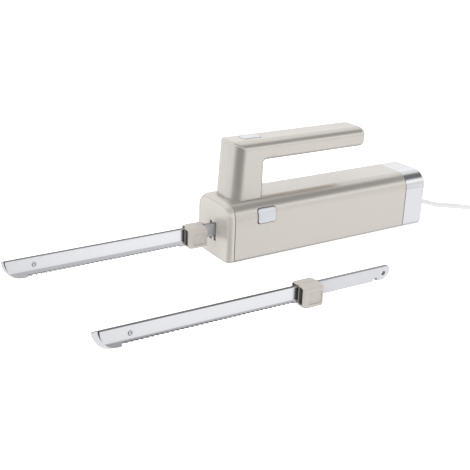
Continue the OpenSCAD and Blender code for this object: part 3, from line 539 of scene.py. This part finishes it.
def front_cap_piece():
    """A cup: rings from its seam over the shoulder, which is halfway between an ellipse's quarter and a chamfer, to
    the face, back inside, and the slot's walls through the face."""
    rear = front_x - seam
    shoulder = cap_len - cap_rim
    rings = [cap_ring(rear - x, inset) for x, inset in seam_lip(0.0005)]
    rings += [cap_ring(front_x - cap_rim - shoulder*math.sin(t)**1.3, cap_draft*(1 - max(math.cos(t), 0)**1.3))
              for t in np.linspace(0, math.pi/2, 16)]
    rings += [cap_ring(face_x + deep, cap_draft + across) for across, deep in cap_groove]
    rings.append(cap_ring(face_x, cap_draft + cap_groove[-1][0] + flat_step))
    inner = [cap_ring(rear, wall), cap_ring(front_x - cap_rim, wall), cap_ring(face_x + wall, cap_draft + wall)]
    hole, wide = slot_outline(0), slot_outline(0.0002)
    slot_rings = [at_x(wide, face_x), at_x(hole, face_x + 0.0002), at_x(hole, face_x + wall)]
    return make_piece("front_cap_shell", [
        skin(rings, caps=()), skin(inner, caps=()), flat_between(rings[-1], slot_rings[0]),
        flat_between(inner[-1], slot_rings[-1]), skin(slot_rings, caps=())],
        cap_lacquer, "housing", ["front_cap"], sharp=30)


front_cap_piece()

# The rear cap: a deep end cap with a bright satin chrome finish over its sides, a fine dark line at
# its seam, and rounded corners round the flat end where the lead comes out low down.
rear_len, rear_r = 0.028, 0.004
relief_z, relief_r = 0.012, 0.005


def chrome_look(name, tint, rough):
    """Plated plastic: near-mirror metal with faint ripple from the moulding and fine rubbing marks."""
    plating = Paint(name)
    marks = plating.noise(6.0, 6.0, (30, 400, 400))
    return plating.shade(Base_Color=(*tint, 1), Metallic=1.0, Roughness=plating.between(marks, rough*0.75, rough*1.35),
                         Normal=plating.bump(plating.noise(90.0), 0.03, 0.0003))


chrome = chrome_look("satin_chrome", (0.72, 0.73, 0.75), 0.12)


def section_ring(x, inset):
    """The body's section at x, drawn in by inset."""
    return at_x(rounded_outline(body_corners(inset), section_steps), x)


def circle(radius, steps):
    """Points once round a circle about the origin."""
    turn = np.linspace(0, 2*math.pi, steps, endpoint=False)
    return radius*np.stack([np.cos(turn), np.sin(turn)], 1)


def rear_cap_piece():
    """Rings from the seam to the rounded end, then flat in to the hole for the strain relief, and back inside."""
    start, end_x = rear_x + seam, rear_x + rear_len
    rings = [section_ring(start + x, inset) for x, inset in seam_lip(0.0004)]
    rings.append(section_ring(end_x - rear_r - flat_step, 0))
    rings += [section_ring(end_x - rear_r + rear_r*math.sin(t), rear_r*(1 - math.cos(t)))
              for t in np.linspace(0, math.pi/2, 12)]
    rings.append(section_ring(end_x, rear_r + flat_step))
    inner = [section_ring(start, wall), section_ring(end_x - rear_r - wall, wall),
             section_ring(end_x - wall, rear_r + wall)]
    hole = [at_x(circle(relief_r, 40) + (0, relief_z), x) for x in (end_x, end_x - wall)]
    return make_piece("rear_cap_shell", [
        skin(rings, caps=()), skin(inner, caps=()), flat_between(rings[-1], hole[0]),
        flat_between(inner[-1], hole[1]), skin(hole, caps=())], chrome, "housing", ["rear_cap"], sharp=40)


rear_cap_piece()

# The handle: one hollow moulding in the same lacquer, a post with a rounded nose that carries a bar.
# It is screwed down from inside the body, and a thin dark ring round the post's foot paints the shadow line of its
# seam.
handle_w, handle_top, bar_low = 0.037, 0.112, 0.093
handle_end = front_x + 0.160
post_front = front_x + 0.0015
post_back = post_front + 0.037
post_lean = 0.0035
nose_r, heel_r, end_r, crown_r, under_r = 0.014, 0.007, 0.006, 0.0082, 0.004
crown_across = 0.011
arch_r, bar_end_r = 0.0022, 0.0068
foot_z = 0.050
switch_at = (front_x + 0.0315, 0.0)
switch_half = (0.0095, 0.0055)
switch_r = 0.0024
switch_deep = 0.0042
corner_steps = 10


def handle_outline(share, more=0.0):
    """The handle from the side. share 0 is its full outline, and share 1 the flat of its side, drawn in by each
    edge's own rounding; more draws it in further. Every share has the same points."""
    nose, crown = nose_r*share + more, crown_r*share + more
    end, under, heel = end_r*share + more, under_r*share + more, heel_r*share + more
    slope = post_lean/(handle_top - body_h)
    foot_front = post_front - slope*(body_h - foot_z)
    top, low = handle_top - crown, bar_low + under

    def tight(r):
        return max(r*(1 - share), 0.0006)
    corners = [(foot_front + nose, foot_z, 0.0002), (post_front + post_lean + nose - slope*crown, top, tight(0.0035)),
               (handle_end - end, top, tight(bar_end_r)), (handle_end - end, low, tight(bar_end_r)),
               (post_back - heel, low, arch_r + 0.6*(heel + under)), (post_back - heel, foot_z, 0.0002)]
    return rounded_outline(corners, corner_steps)


def top_point(flat, depth):
    """Points of the handle's top at (x, y) from the switch's middle, moved down by depth."""
    return np.stack([flat[:, 0] + switch_at[0], flat[:, 1], np.full(len(flat), handle_top - depth)], 1)


def handle_piece():
    """Flat sides joined by a rounding whose radius differs from edge to edge: a point of the full outline moves to
    the flat's outline as 1 - cos while it moves outwards as sin. A recess in the top takes the switch."""
    per = corner_steps + 3
    full, flat = handle_outline(0), handle_outline(1)
    edges = [nose_r, crown_across, end_r, under_r, heel_r, under_r]
    radius = np.concatenate([edges[k - 1] + (edges[k] - edges[k - 1])*ease((np.arange(per) - 1)/(per - 3))
                             for k in range(6)])
    half = np.add(switch_half, gap)
    us, vs = lines = hole_lines(half, switch_r, hole_margin)
    top_x = switch_at[0] + us
    cut = 2*per

    def with_lines(o):
        share = (top_x - full[cut - 1, 0])/(full[cut, 0] - full[cut - 1, 0])
        return np.concatenate([o[:cut], o[cut - 1] + share[:, None]*(o[cut] - o[cut - 1]), o[cut:]])
    full, flat, inner = with_lines(full), with_lines(flat), with_lines(handle_outline(1, 0.0005))
    radius = np.concatenate([radius[:cut], np.full(len(us), crown_across), radius[cut:]])
    rings = [(inner, np.full(len(full), handle_w/2))]
    for t in np.linspace(math.pi/2, 0, 12):
        rings.append((full + (flat - full)*(1 - math.cos(t)), handle_w/2 - radius*(1 - math.sin(t))))
    half_w = handle_w/2 - radius
    rings += [(full, half_w*v/(handle_w/2 - crown_across)) for v in vs[::-1] if v > 0]
    rings = [(o, -y) for o, y in rings] + [(o, y) for o, y in rings[::-1]]
    moulding = cut_out(*skin([np.stack([o[:, 0], y, o[:, 1]], 1) for o, y in rings]), lambda x, y, z: (
        (np.abs(x - switch_at[0]) < us[-1]) & (np.abs(y) < vs[-1]) & (z > handle_top - 0.0005)))
    return make_piece("handle", [moulding, recess(lines, half, switch_r, 0.0003, switch_deep, top_point)],
                      lacquer, "housing", ["handle_shell"], sharp=50)


handle_piece()

# The seam line: a thin ring in a dark taupe rubber look that paints the fine shadow line
# where the post meets the body.


def dark_look(name, tint, rough):
    """Moulded plastic or rubber: a fine even grain, with a little more gloss where it was handled."""
    mould = Paint(name)
    grain = mould.noise(1800.0)
    return mould.shade(Base_Color=mould.ramp(grain, (0, [0.9*v for v in tint]), (1, [min(1.1*v, 1) for v in tint])),
                       Roughness=mould.between(mould.noise(35.0, 3.0), rough - 0.08, rough + 0.08),
                       Normal=mould.bump(grain, 0.12, 0.0002))


dark_plastic = dark_look("dark_plastic", (0.035, 0.035, 0.037), 0.45)


def roof_z(y):
    """Height of the body's top at y: flat between the two rounded edges, then down along them."""
    over = np.clip(np.abs(y) - (body_w/2 - edge_r), 0, None)
    return arc_z + np.sqrt(edge_r**2 - over**2)


def seam_shade_ring(grow, rise):
    """The post's foot from above, grown by grow, laid on the body's roof and lifted by rise."""
    low, high = post_front - grow, post_back + grow
    half = handle_w/2 + grow
    o = rounded_outline([(low, -half, nose_r + grow), (low, half, nose_r + grow), (high, half, heel_r + grow),
                         (high, -half, heel_r + grow)], 12)
    return np.stack([o[:, 0], o[:, 1], roof_z(o[:, 1]) + rise], 1)


# A thin dark ring laid on the body's roof round the post's foot paints the seam's shadow line.
seam_shade_shape = [(0.00025, -0.0003), (0.00025, 0.0001), (0.00015, 0.0002), (-0.0004, 0.0002), (-0.0004, -0.0003)]
gasket_rubber = dark_look("gasket_rubber", (0.30, 0.28, 0.26), 0.5)
make_piece("post_seam_shade", [skin([seam_shade_ring(*shape) for shape in seam_shade_shape], looped=True)], gasket_rubber,
           "housing")

# The two buttons: plated plastic caps with softly rounded rims. The switch sits in the handle's top
# and the release button in the body's left wall, each with a fine gap round it.
switch_proud, release_proud = 0.0005, 0.0008


def cushion(half, radius, rim, lay, proud, deep):
    """A button's cap: a grid squeezed into a rounded rectangle, so that the square's corners land on the arcs. Its
    rim falls as a quarter round of radius rim. Walls and a back, deep below the top, close it. lay places (flat
    points, depth) in the model, and the cap stands proud above that."""
    fall = rim*(1 - np.cos(np.linspace(0, math.pi/2, 7)))
    lines = [np.concatenate([-h + fall, np.linspace(-h + rim, h - rim, 14)[1:-1], h - fall[::-1]]) for h in half]
    grid = np.stack(np.meshgrid(*lines, indexing="ij"), 2).reshape(-1, 2)
    core = np.clip(grid, -(np.array(half) - radius), np.array(half) - radius)
    out = grid - core
    length = np.linalg.norm(out, axis=1, keepdims=True)
    out *= np.abs(out).max(1, keepdims=True)/np.maximum(length, 1e-12)
    inside = rim - np.clip(radius - np.linalg.norm(out, axis=1), 0, rim)
    depth = rim - np.sqrt(np.clip(rim**2 - inside**2, 0, None))
    count = [len(v) for v in lines]
    i, j = np.meshgrid(np.arange(count[0] - 1)*count[1], np.arange(count[1] - 1), indexing="ij")
    quads = np.stack([i + j, i + j + count[1], i + j + count[1] + 1, i + j + 1], 2).reshape(-1, 4).tolist()
    around = hole_edge(hole_frame(*lines), half, radius, 0)
    return [(lay(core + out, depth - proud), quads), skin([lay(around, d - proud) for d in (rim, deep)], caps=(-1,))]


satin = chrome_look("satin_silver", (0.72, 0.74, 0.77), 0.28)
make_piece("switch_cap", cushion(switch_half, switch_r, 0.0007, top_point, switch_proud, 0.0025), satin,
           "switch", ["switch_button"], sharp=50, weld=5e-6)
make_piece("release_cap", cushion(button_half, button_r, 0.0006, side_point, release_proud, 0.0035), satin,
           "release", ["release_button"], sharp=50, weld=5e-6)

# The blades: a pair of flat steel plates that slide on each other. Each is ground to its edge on the
# outside, with a scalloped edge behind a plain rounded tip, and ends in a tang with a latch notch and hole.
grip_stand, grip_l, grip_h, grip_w = 0.0091, 0.0195, 0.0205, 0.011
model_cap_len = 0.0082
tip_reach, plain_len, rivet_back = 0.016, 0.018, 0.0245
tooth_pitch, tip_lead = 0.0043, 0.005
tang_len = 0.0795
rivet_z = 0.65*blade_h
slot_half = (0.0081, 0.0018)
edge_t, spine_r, bevel_line = 0.00012, 0.0003, 0.00012
fitted = {"len": 0.1685, "lift": 0.0, "tooth_lift": 0.0002, "depth": 0.0017, "bevel": 0.0067,
          "at": (front_x - model_cap_len - grip_stand, 0, grip_z), "yaw": 0.0, "shift": 0.0014}
second = {"len": 0.177, "lift": 0.0008, "tooth_lift": 0.0026, "depth": 0.0009, "bevel": 0.0068,
          "at": (front_x + 0.0197, -0.128, 0), "yaw": math.radians(-1.5), "shift": 0.0}


def stand(points, side, kind):
    """Places points given from the middle of a grip's rear end: mirrored by side, moved along by the pair's shift,
    turned by its yaw."""
    c, s = math.cos(kind["yaw"]), math.sin(kind["yaw"])
    u, y = points[:, 0] + side*kind["shift"], side*points[:, 1]
    return np.stack([u*c - y*s, u*s + y*c, points[:, 2]], 1) + kind["at"]


def steel_look(name, tint, streak, rough, metal=1.0, ground=False):
    """Drawn and brushed steel: fine streaks along the part, and a soft wipe pattern across its gloss. Where it is
    ground, the attribute grind darkens it: a light shade on the bevel at 0.5, part its ground finish and part painted
    shade, and a deep painted shade in the scallops at 1."""
    plate = Paint(name)
    lines = plate.noise(60.0, 5.0, streak)
    tone = plate.ramp(lines, (0.3, [0.93*v for v in tint]), (0.7, tint))
    if ground:
        # The grind ramp paints shade: lightly on the bevel, deeply in the scallops.
        grind = plate.add("Attribute", "Fac", attribute_name="grind")
        tone = plate.blend("MULTIPLY", tone, plate.ramp(grind, (0, (1, 1, 1)), (0.5, (0.86, 0.86, 0.87)),
                                                        (1, (0.34, 0.34, 0.35))))
    return plate.shade(Base_Color=tone, Metallic=metal, Roughness=plate.between(lines, rough*0.8, rough*1.25),
                       Normal=plate.bump(lines, 0.04, 0.0002))


blade_streak = (3, 60, 160)
blade_steel = steel_look("blade_steel", (0.86, 0.87, 0.89), blade_streak, 0.20, ground=True)
# The tang takes a more diffuse copy of the blade's steel, which paints it brighter where it lies in shade.
tang_steel = steel_look("tang_steel", (0.62, 0.625, 0.65), blade_streak, 0.42, metal=0.35)
# The faces cut square to the plates take a dark steel that paints shade along the edges, over their duller finish.
cut_steel = steel_look("cut_steel", (0.24, 0.24, 0.25), (60, 60, 60), 0.45)


def edge_height(u, tip_u, start_u, kind):
    """The blade's lower edge at u: a quarter ellipse down from the tip, a plain stretch, then scallops between sharp
    tooth tips."""
    q = np.clip((tip_u + tip_reach - u)/tip_reach, 0, 1)
    plain = blade_h - (blade_h - kind["lift"])*np.sqrt(1 - q**2)
    f = ((u - start_u)/tooth_pitch) % 1.0
    teeth = kind["tooth_lift"] + kind["depth"]*(1 - np.abs(2*f - 1)**2.6)
    return np.where(u < start_u, plain, teeth)


def bevel_thick(z, kind):
    """The blade's thickness on its bevel at height z: it grows evenly from the edge up to the bevel's top line."""
    return edge_t + (blade_t - edge_t)*np.clip(z - kind["lift"], 0, None)/(kind["bevel"] - kind["lift"])


def blade_parts(kind, side):
    """The blade in front of its grip: a row of closed cross-sections. Outside, the thickness is the lesser of the
    bevel's and, behind the plain tip, the scallop's own steeper grind, and the spine is rounded. Behind, a flat
    tang plate with its notch and hole. The far blade has the rivet's slot."""
    slot = side > 0
    tip_u = -grip_l - kind["len"] - (tip_lead if slot else 0)
    start_u = -grip_l - kind["len"] + plain_len
    stop_u = -grip_l - 0.003
    teeth = int((stop_u - start_u)/tooth_pitch)
    slot_u = -grip_l - kind["len"] + rivet_back
    us, vs = hole_lines(slot_half, slot_half[1], 0.0006)
    tip_us = tip_u + tip_reach*(1 - np.sin(np.linspace(math.pi/2, 0, 22)))
    along = [tip_us, np.linspace(tip_us[-1], start_u - 0.00002, 4)[1:],
             start_u + tooth_pitch*(np.arange(teeth)[:, None] + np.linspace(0, 1, 13)[None, :-1]).ravel(),
             np.linspace(start_u + teeth*tooth_pitch, -grip_l + 0.006, 5)]
    u = np.concatenate(along)
    if slot:
        near = (u > slot_u + us[0] - 0.00015) & (u < slot_u + us[-1] + 0.00015)
        u = np.sort(np.concatenate([u[~near], slot_u + us]))
    e = edge_height(u, tip_u, start_u, kind)
    e = np.where(u > start_u + teeth*tooth_pitch, kind["tooth_lift"], e)[:, None]
    bevel_z, top = kind["bevel"], blade_h
    upper = [top, top - 0.00008, top - 0.0003, top - 0.001]
    if slot:
        upper += list(rivet_z + vs[::-1])
    else:
        upper += [rivet_z + 0.002, rivet_z - 0.002]
    upper += [bevel_z + bevel_line, bevel_z - bevel_line]
    z = np.repeat(np.array([upper]), len(u), 0)
    lower_share = np.array([[0.82, 0.6, 0.42, 0.3, 0.2, 0.12, 0.05, 0.0]])
    z = np.concatenate([z, e + np.clip(bevel_z - bevel_line - e, 0, None)*lower_share], 1)
    z = np.maximum(z, e)
    scallop = np.where(u[:, None] < start_u, blade_t, edge_t + 0.75*(z - e))
    thick = np.clip(np.minimum(bevel_thick(z, kind), scallop), edge_t, blade_t)
    spine = np.clip(spine_r - (top - z), 0, spine_r)
    thick = thick - np.minimum(spine_r - np.sqrt(np.clip(spine_r**2 - spine**2, 0, None)), 0.6*thick)
    outer = np.stack([np.repeat(u[:, None], z.shape[1], 1), plate_in + thick, z], 2)
    inner = np.stack([outer[..., 0], np.full_like(z, plate_in), z], 2)[:, ::-1]
    parts = [skin(np.concatenate([outer, inner], 1))]
    if slot:
        line = hole_frame(us, vs)
        edge = hole_edge(line, slot_half, slot_half[1] - 1e-6, 0)
        parts = [cut_out(*parts[0], lambda x, y, z: (np.abs(x - slot_u) < us[-1]) & (np.abs(z - rivet_z) < vs[-1])),
                 skin([at_y(flat + (slot_u, rivet_z), y) for flat, y in (
                     (line, plate_out), (edge, plate_out), (edge, plate_in), (line, plate_in))], caps=())]
    return [(stand(p, side, kind), f) for p, f in parts + tang_parts()]


def tang_parts():
    """The tang plate from the side, its edges broken all round: two faces, the broken edges between them, a hole."""
    low, top, start = blade_h - tang_h, blade_h, -grip_l + 0.004
    latch, hook = tang_len - 0.018, 0.003

    def outline(m):
        return rounded_outline([
            (start + m, low + m, 0.0003), (latch - m, low + m, 0.0003), (latch + 0.001 - m, low + hook + m, 0.0003),
            (latch + 0.004 + m, low + hook + m, 0.0003), (latch + 0.004 + m, low + m, 0.0003),
            (tang_len - m, low + m, 0.0088 - m), (tang_len - m, top - m, 0.003 - m),
            (start + m, top - m, 0.0003)], 8, 0.00005)
    broken = 0.00018
    inside, outside = plate_in + 0.00004, plate_out - 0.00004
    steps = ((broken, inside), (0, inside + broken), (0, outside - broken), (broken, outside))
    rims = [at_y(outline(m), y) for m, y in steps]
    holes = [at_y(circle(0.002 + m, 32)[::-1] + (tang_len - 0.007, low + tang_h/2), y) for m, y in steps]
    return [skin(rims, caps=()), skin(holes, caps=()), flat_between(rims[0], holes[0]),
            flat_between(rims[-1], holes[-1])]


def read_back(elements, key, side, kind):
    """Reads points of a placed piece, its vertices or face centres, and takes them back to where they were made."""
    at = np.empty(3*len(elements))
    elements.foreach_get(key, at)
    x, w, z = (at.reshape(-1, 3) - kind["at"]).T
    c, s = math.cos(kind["yaw"]), math.sin(kind["yaw"])
    return x*c + w*s - side*kind["shift"], side*(w*c - x*s), z


def mark_steel_shades(piece, kind, side):
    """Writes the attribute grind, which paints shade on the ground steel: 0 on the flats, 0.5 on the ground bevel and 1
    in the scallops, where the painted shade is deepest. The tang gets a more diffuse copy of the steel that paints it
    brighter where it lies in shade, and the faces that were cut square to the plate a dark steel that paints shade
    along the edges."""
    mesh = piece.data
    u, y, z = read_back(mesh.vertices, "co", side, kind)
    ground = (u < -grip_l + 0.004) & (y > plate_in + 0.00005) & (y < plate_out - 0.00001) & (z < blade_h - 0.0006)
    scallop_shade = (y < plate_in + bevel_thick(z, kind) - 0.00004) & (z < kind["bevel"] - 0.0005)
    layer = mesh.attributes.new("grind", "FLOAT", "POINT")
    layer.data.foreach_set("value", (0.5*ground + 0.5*(ground & scallop_shade)).astype(np.float32))
    for look in (tang_steel, cut_steel):
        mesh.materials.append(look)
    u, y, z = read_back(mesh.polygons, "center", side, kind)
    facing = np.empty(3*len(mesh.polygons))
    mesh.polygons.foreach_get("normal", facing)
    index = np.where(np.abs(facing.reshape(-1, 3)[:, 1]) < 0.5, 2, np.where(u > -grip_l + 0.0025, 1, 0))
    mesh.polygons.foreach_set("material_index", index.astype(np.int32))


plates = (("", fitted, -1, "near", "pair_near"), ("", fitted, 1, "far", "pair_far"),
          ("spare_", second, -1, "near", "spare_near"), ("spare_", second, 1, "far", "spare_far"))
for pair, kind, side, word, body in plates:
    plate = make_piece(f"{pair}plate_{word}", blade_parts(kind, side), blade_steel, body,
                       [f"{pair}blade_{word}"], sharp=32)
    mark_steel_shades(plate, kind, side)

# The tip rivets: a hollow rivet with a rolled head is fast in each near blade and runs in the far
# blade's slot, so that it keeps the two plates together.
steel = steel_look("drawn_steel", (0.72, 0.73, 0.75), (30, 30, 30), 0.24)


def rivet_parts(kind):
    """A profile turned about the rivet's axis: the rolled head with its dimple, the shank, and the same head again."""
    head = [(0.0, 0.00015), (0.0006, 0.00015), (0.0009, 0.00028), (0.0011, 0.00048), (0.00135, 0.0005),
            (0.0017, 0.00047), (0.0020, 0.00036), (0.0022, 0.0002), (0.0023, 0.00003), (0.0022, 0.00001)]
    near = [(r, -plate_out - h) for r, h in head]
    far = [(r, plate_out + 0.0002 + h) for r, h in head[::-1]]
    profile = near + [(0.0016, -plate_out), (0.0016, plate_out + 0.0002)] + far
    middle = (-grip_l - kind["len"] + rivet_back, rivet_z)
    points, faces = skin([at_y(circle(max(r, 1e-5), 40) + middle, y) for r, y in profile])
    points[:, 1] *= -1
    return [(stand(points, -1, kind), faces)]


make_piece("rivet_fitted", rivet_parts(fitted), steel, "pair_near", ["tip_rivet"], sharp=50)
make_piece("rivet_second", rivet_parts(second), steel, "spare_near", ["spare_rivet"], sharp=50)

# The grips: two moulded halves in taupe plastic, one on each blade. Outside each has a framed and
# ribbed panel for the thumb, in front it is hollow, and its top reaches over the blade.
grip_plastic = dark_look("taupe_plastic", (0.46, 0.43, 0.395), 0.40)
# The pocket's walls take a near-black taupe that paints the deep shade inside the grip's hollow front.
grip_hollow_shade = dark_look("taupe_hollow", (0.10, 0.092, 0.085), 0.6)
panel_half = (grip_l/2 - 0.0032, 0.0058)
panel_z = 0.0090
panel_r = 0.0015
panel_deep = 0.0008
pocket_deep = 0.012
pocket_rim = 0.0005
top_z = grip_h - 0.0012
crown = (0.0080, 0.0034)
grip_steps = 8
rib_pitch, rib_half, rib_high = 0.0036, 0.00105, 0.00045
soft_rear = (0.0009, 0.0014, 0.0008)
soft_front = (0.0038, 0.0022, 0.0028)


def grip_section(inset, aside, line_z):
    """A grip from the front: its outside wall and its top, which falls in a long arc towards the wall and reaches
    over the blade. inset draws in the bottom and the top, aside the wall. Grid lines cross the wall at line_z."""
    out, inside, over = grip_w - 0.0001 - aside, plate_out + 0.0001, blade_h + 0.0002
    high = max(top_z - inset, over + 0.0006)
    arc = crown[1] - 0.6*inset
    o = rounded_outline([(inside, inset, 0.0004), (out, inset, 0.0020), (out, high, arc),
                         (0.0001, high, 0.0002), (0.0001, over, 0.0002), (inside, over, 0.0002)],
                        grip_steps, 0.0001)
    lean = np.sqrt(1 - (np.clip(o[:, 1] - high + arc, 0, arc)/arc)**2)
    o[:, 0] -= np.where(o[:, 0] > 0.002, (crown[0] - crown[1])*(1 - lean), 0)
    cut = 2*(grip_steps + 3)
    share = np.clip((line_z - o[cut - 1, 1])/(o[cut, 1] - o[cut - 1, 1]), 0, 1)
    return np.concatenate([o[:cut], o[cut - 1] + share[:, None]*(o[cut] - o[cut - 1]), o[cut:]])


def grip_parts(kind, side):
    """Cross-sections from the rear to the front, the ends rounded; less the panel's block, which is refilled by a
    framed recess with three ribs; and a deep pocket in the front."""
    us, vs = lines = hole_lines(panel_half, panel_r, 0.0008)
    centre = (-0.0083, panel_z)
    bend = np.linspace(math.pi/2, 0, 9)
    rear, ahead = ([(reach*(math.sin(t) - 1), inset*(1 - math.cos(t)), aside*(1 - math.cos(t))) for t in bend]
                   for reach, inset, aside in (soft_rear, soft_front))
    path = rear + [(centre[0] + u, 0.0, 0.0) for u in us[::-1]] + [(-grip_l - x, d, a) for x, d, a in ahead[::-1]]
    rings = [at_x(grip_section(d, a, centre[1] + vs), x) for x, d, a in path]
    out = grip_w - 0.0001

    def on_wall(flat, depth):
        return at_y(flat + centre, out - depth)
    parts = [cut_out(*skin(rings, caps=(0,)), lambda x, y, z: (
        (np.abs(x - centre[0]) < us[-1]) & (np.abs(z - centre[1]) < vs[-1]) & (y > grip_w - 0.0003))),
        recess(lines, panel_half, panel_r, 0.00035, panel_deep, on_wall)]
    bulge = np.linspace(0, math.pi, 9)
    for k in (-1, 0, 1):
        u = centre[0] + k*rib_pitch - rib_half*np.cos(bulge)
        parts.append(skin([
            np.stack([u, out - panel_deep - 0.0001 + rib_high*grow*np.sin(bulge),
                      np.full(9, centre[1] + v*(panel_half[1] - 0.0012))], 1)
            for v, grow in ((-1, 0.15), (-0.97, 0.6), (-0.9, 0.9), (-0.8, 1), (0.8, 1), (0.9, 0.9), (0.97, 0.6),
                            (1, 0.15))]))
    in_y, out_y = plate_out + 0.0004, out - soft_front[2] - pocket_rim
    low, high = soft_front[1] + pocket_rim, blade_h - 0.0004

    def mouth(grow, x):
        return at_x(rounded_outline([(in_y - grow, low - grow, 0.0006), (out_y + grow, low - grow, 0.0012),
                                     (out_y + grow, high + grow, 0.0012), (in_y - grow, high + grow, 0.0006)], 6), x)
    walls = [mouth(0.0002, -grip_l), mouth(0, -grip_l + 0.0003), mouth(-0.0003, -grip_l + pocket_deep)]
    parts += [flat_between(rings[-1], walls[0]), skin(walls, caps=(-1,))]
    return [(stand(p, side, kind), f) for p, f in parts]


for pair, kind, side, word, body in plates:
    moulding = make_piece(f"{pair}handgrip_{word}", grip_parts(kind, side), grip_plastic, body,
                          [f"{pair}grip_{word}"], sharp=45)
    # Faces inside the front pocket take the near-black taupe of painted shade.
    moulding.data.materials.append(grip_hollow_shade)
    u, y, z = read_back(moulding.data.polygons, "center", side, kind)
    hollow = ((u > -grip_l + 0.0002) & (u < -grip_l + pocket_deep + 0.0005) & (y > plate_out + 0.00025)
              & (y < grip_w - 0.0005 - soft_front[2]) & (z > 0.001) & (z < blade_h - 0.0002))
    moulding.data.polygons.foreach_set("material_index", hollow.astype(np.int32))

# The inner parts keep the model's own shapes and take a finish each: the moulded chassis, nylon links
# and wheel, oiled iron sheets, enamelled copper, the circuit board, and turned steel.


def sheet_iron_look():
    """A stack of thin oiled iron sheets: fine dark lines across X, with patches of oil."""
    iron = Paint("sheet_iron")
    sheets = iron.add("TexWave", "Fac", Vector=iron.place, wave_type="BANDS", bands_direction="X", Scale=320.0,
                      Distortion=0.4)
    return iron.shade(Base_Color=iron.ramp(sheets, (0, (0.10, 0.10, 0.11)), (1, (0.32, 0.32, 0.34))), Metallic=0.9,
                      Roughness=iron.between(iron.noise(60.0, 4.0), 0.3, 0.6), Normal=iron.bump(sheets, 0.3, 0.0002))


def copper_look():
    """Enamelled copper wire, wound along X: rounded strands, with painted shade darkening the grooves between them."""
    copper = Paint("enamelled_copper")
    strands = copper.add("TexWave", "Fac", Vector=copper.place, wave_type="BANDS", bands_direction="Z", Scale=260.0,
                         Distortion=0.6)
    # The ramp's dark end paints shade into the grooves between the strands.
    return copper.shade(Base_Color=copper.ramp(strands, (0, (0.16, 0.05, 0.02)), (1, (0.66, 0.30, 0.14))),
                        Metallic=0.8, Roughness=0.3, Coat_Weight=0.6, Normal=copper.bump(strands, 0.6, 0.0003))


def board_look():
    """Circuit board: green solder mask over tracks that show as lighter, raised patches."""
    board = Paint("circuit_board")
    tracks = board.add("TexBrick", "Color", Vector=board.place, Scale=180.0, Color1=(0.03, 0.12, 0.05, 1),
                       Color2=(0.05, 0.17, 0.08, 1), Mortar=(0.02, 0.08, 0.035, 1))
    return board.shade(Base_Color=tracks, Roughness=0.3, Normal=board.bump(tracks.node.outputs["Fac"], 0.3, 0.0001))


finishes = {"lacquer": lacquer, "chrome": chrome, "steel": steel, "blade": blade_steel, "grip": grip_plastic,
            "lead": lead_white, "dark_plastic": dark_plastic, "nylon": dark_look("nylon", (0.72, 0.69, 0.60), 0.42),
            "iron": sheet_iron_look(), "copper": copper_look(), "board": board_look()}
for part in nodes.values():
    for holder in part.material_slots:
        holder.material = finishes[holder.material.name.split(".")[0]]
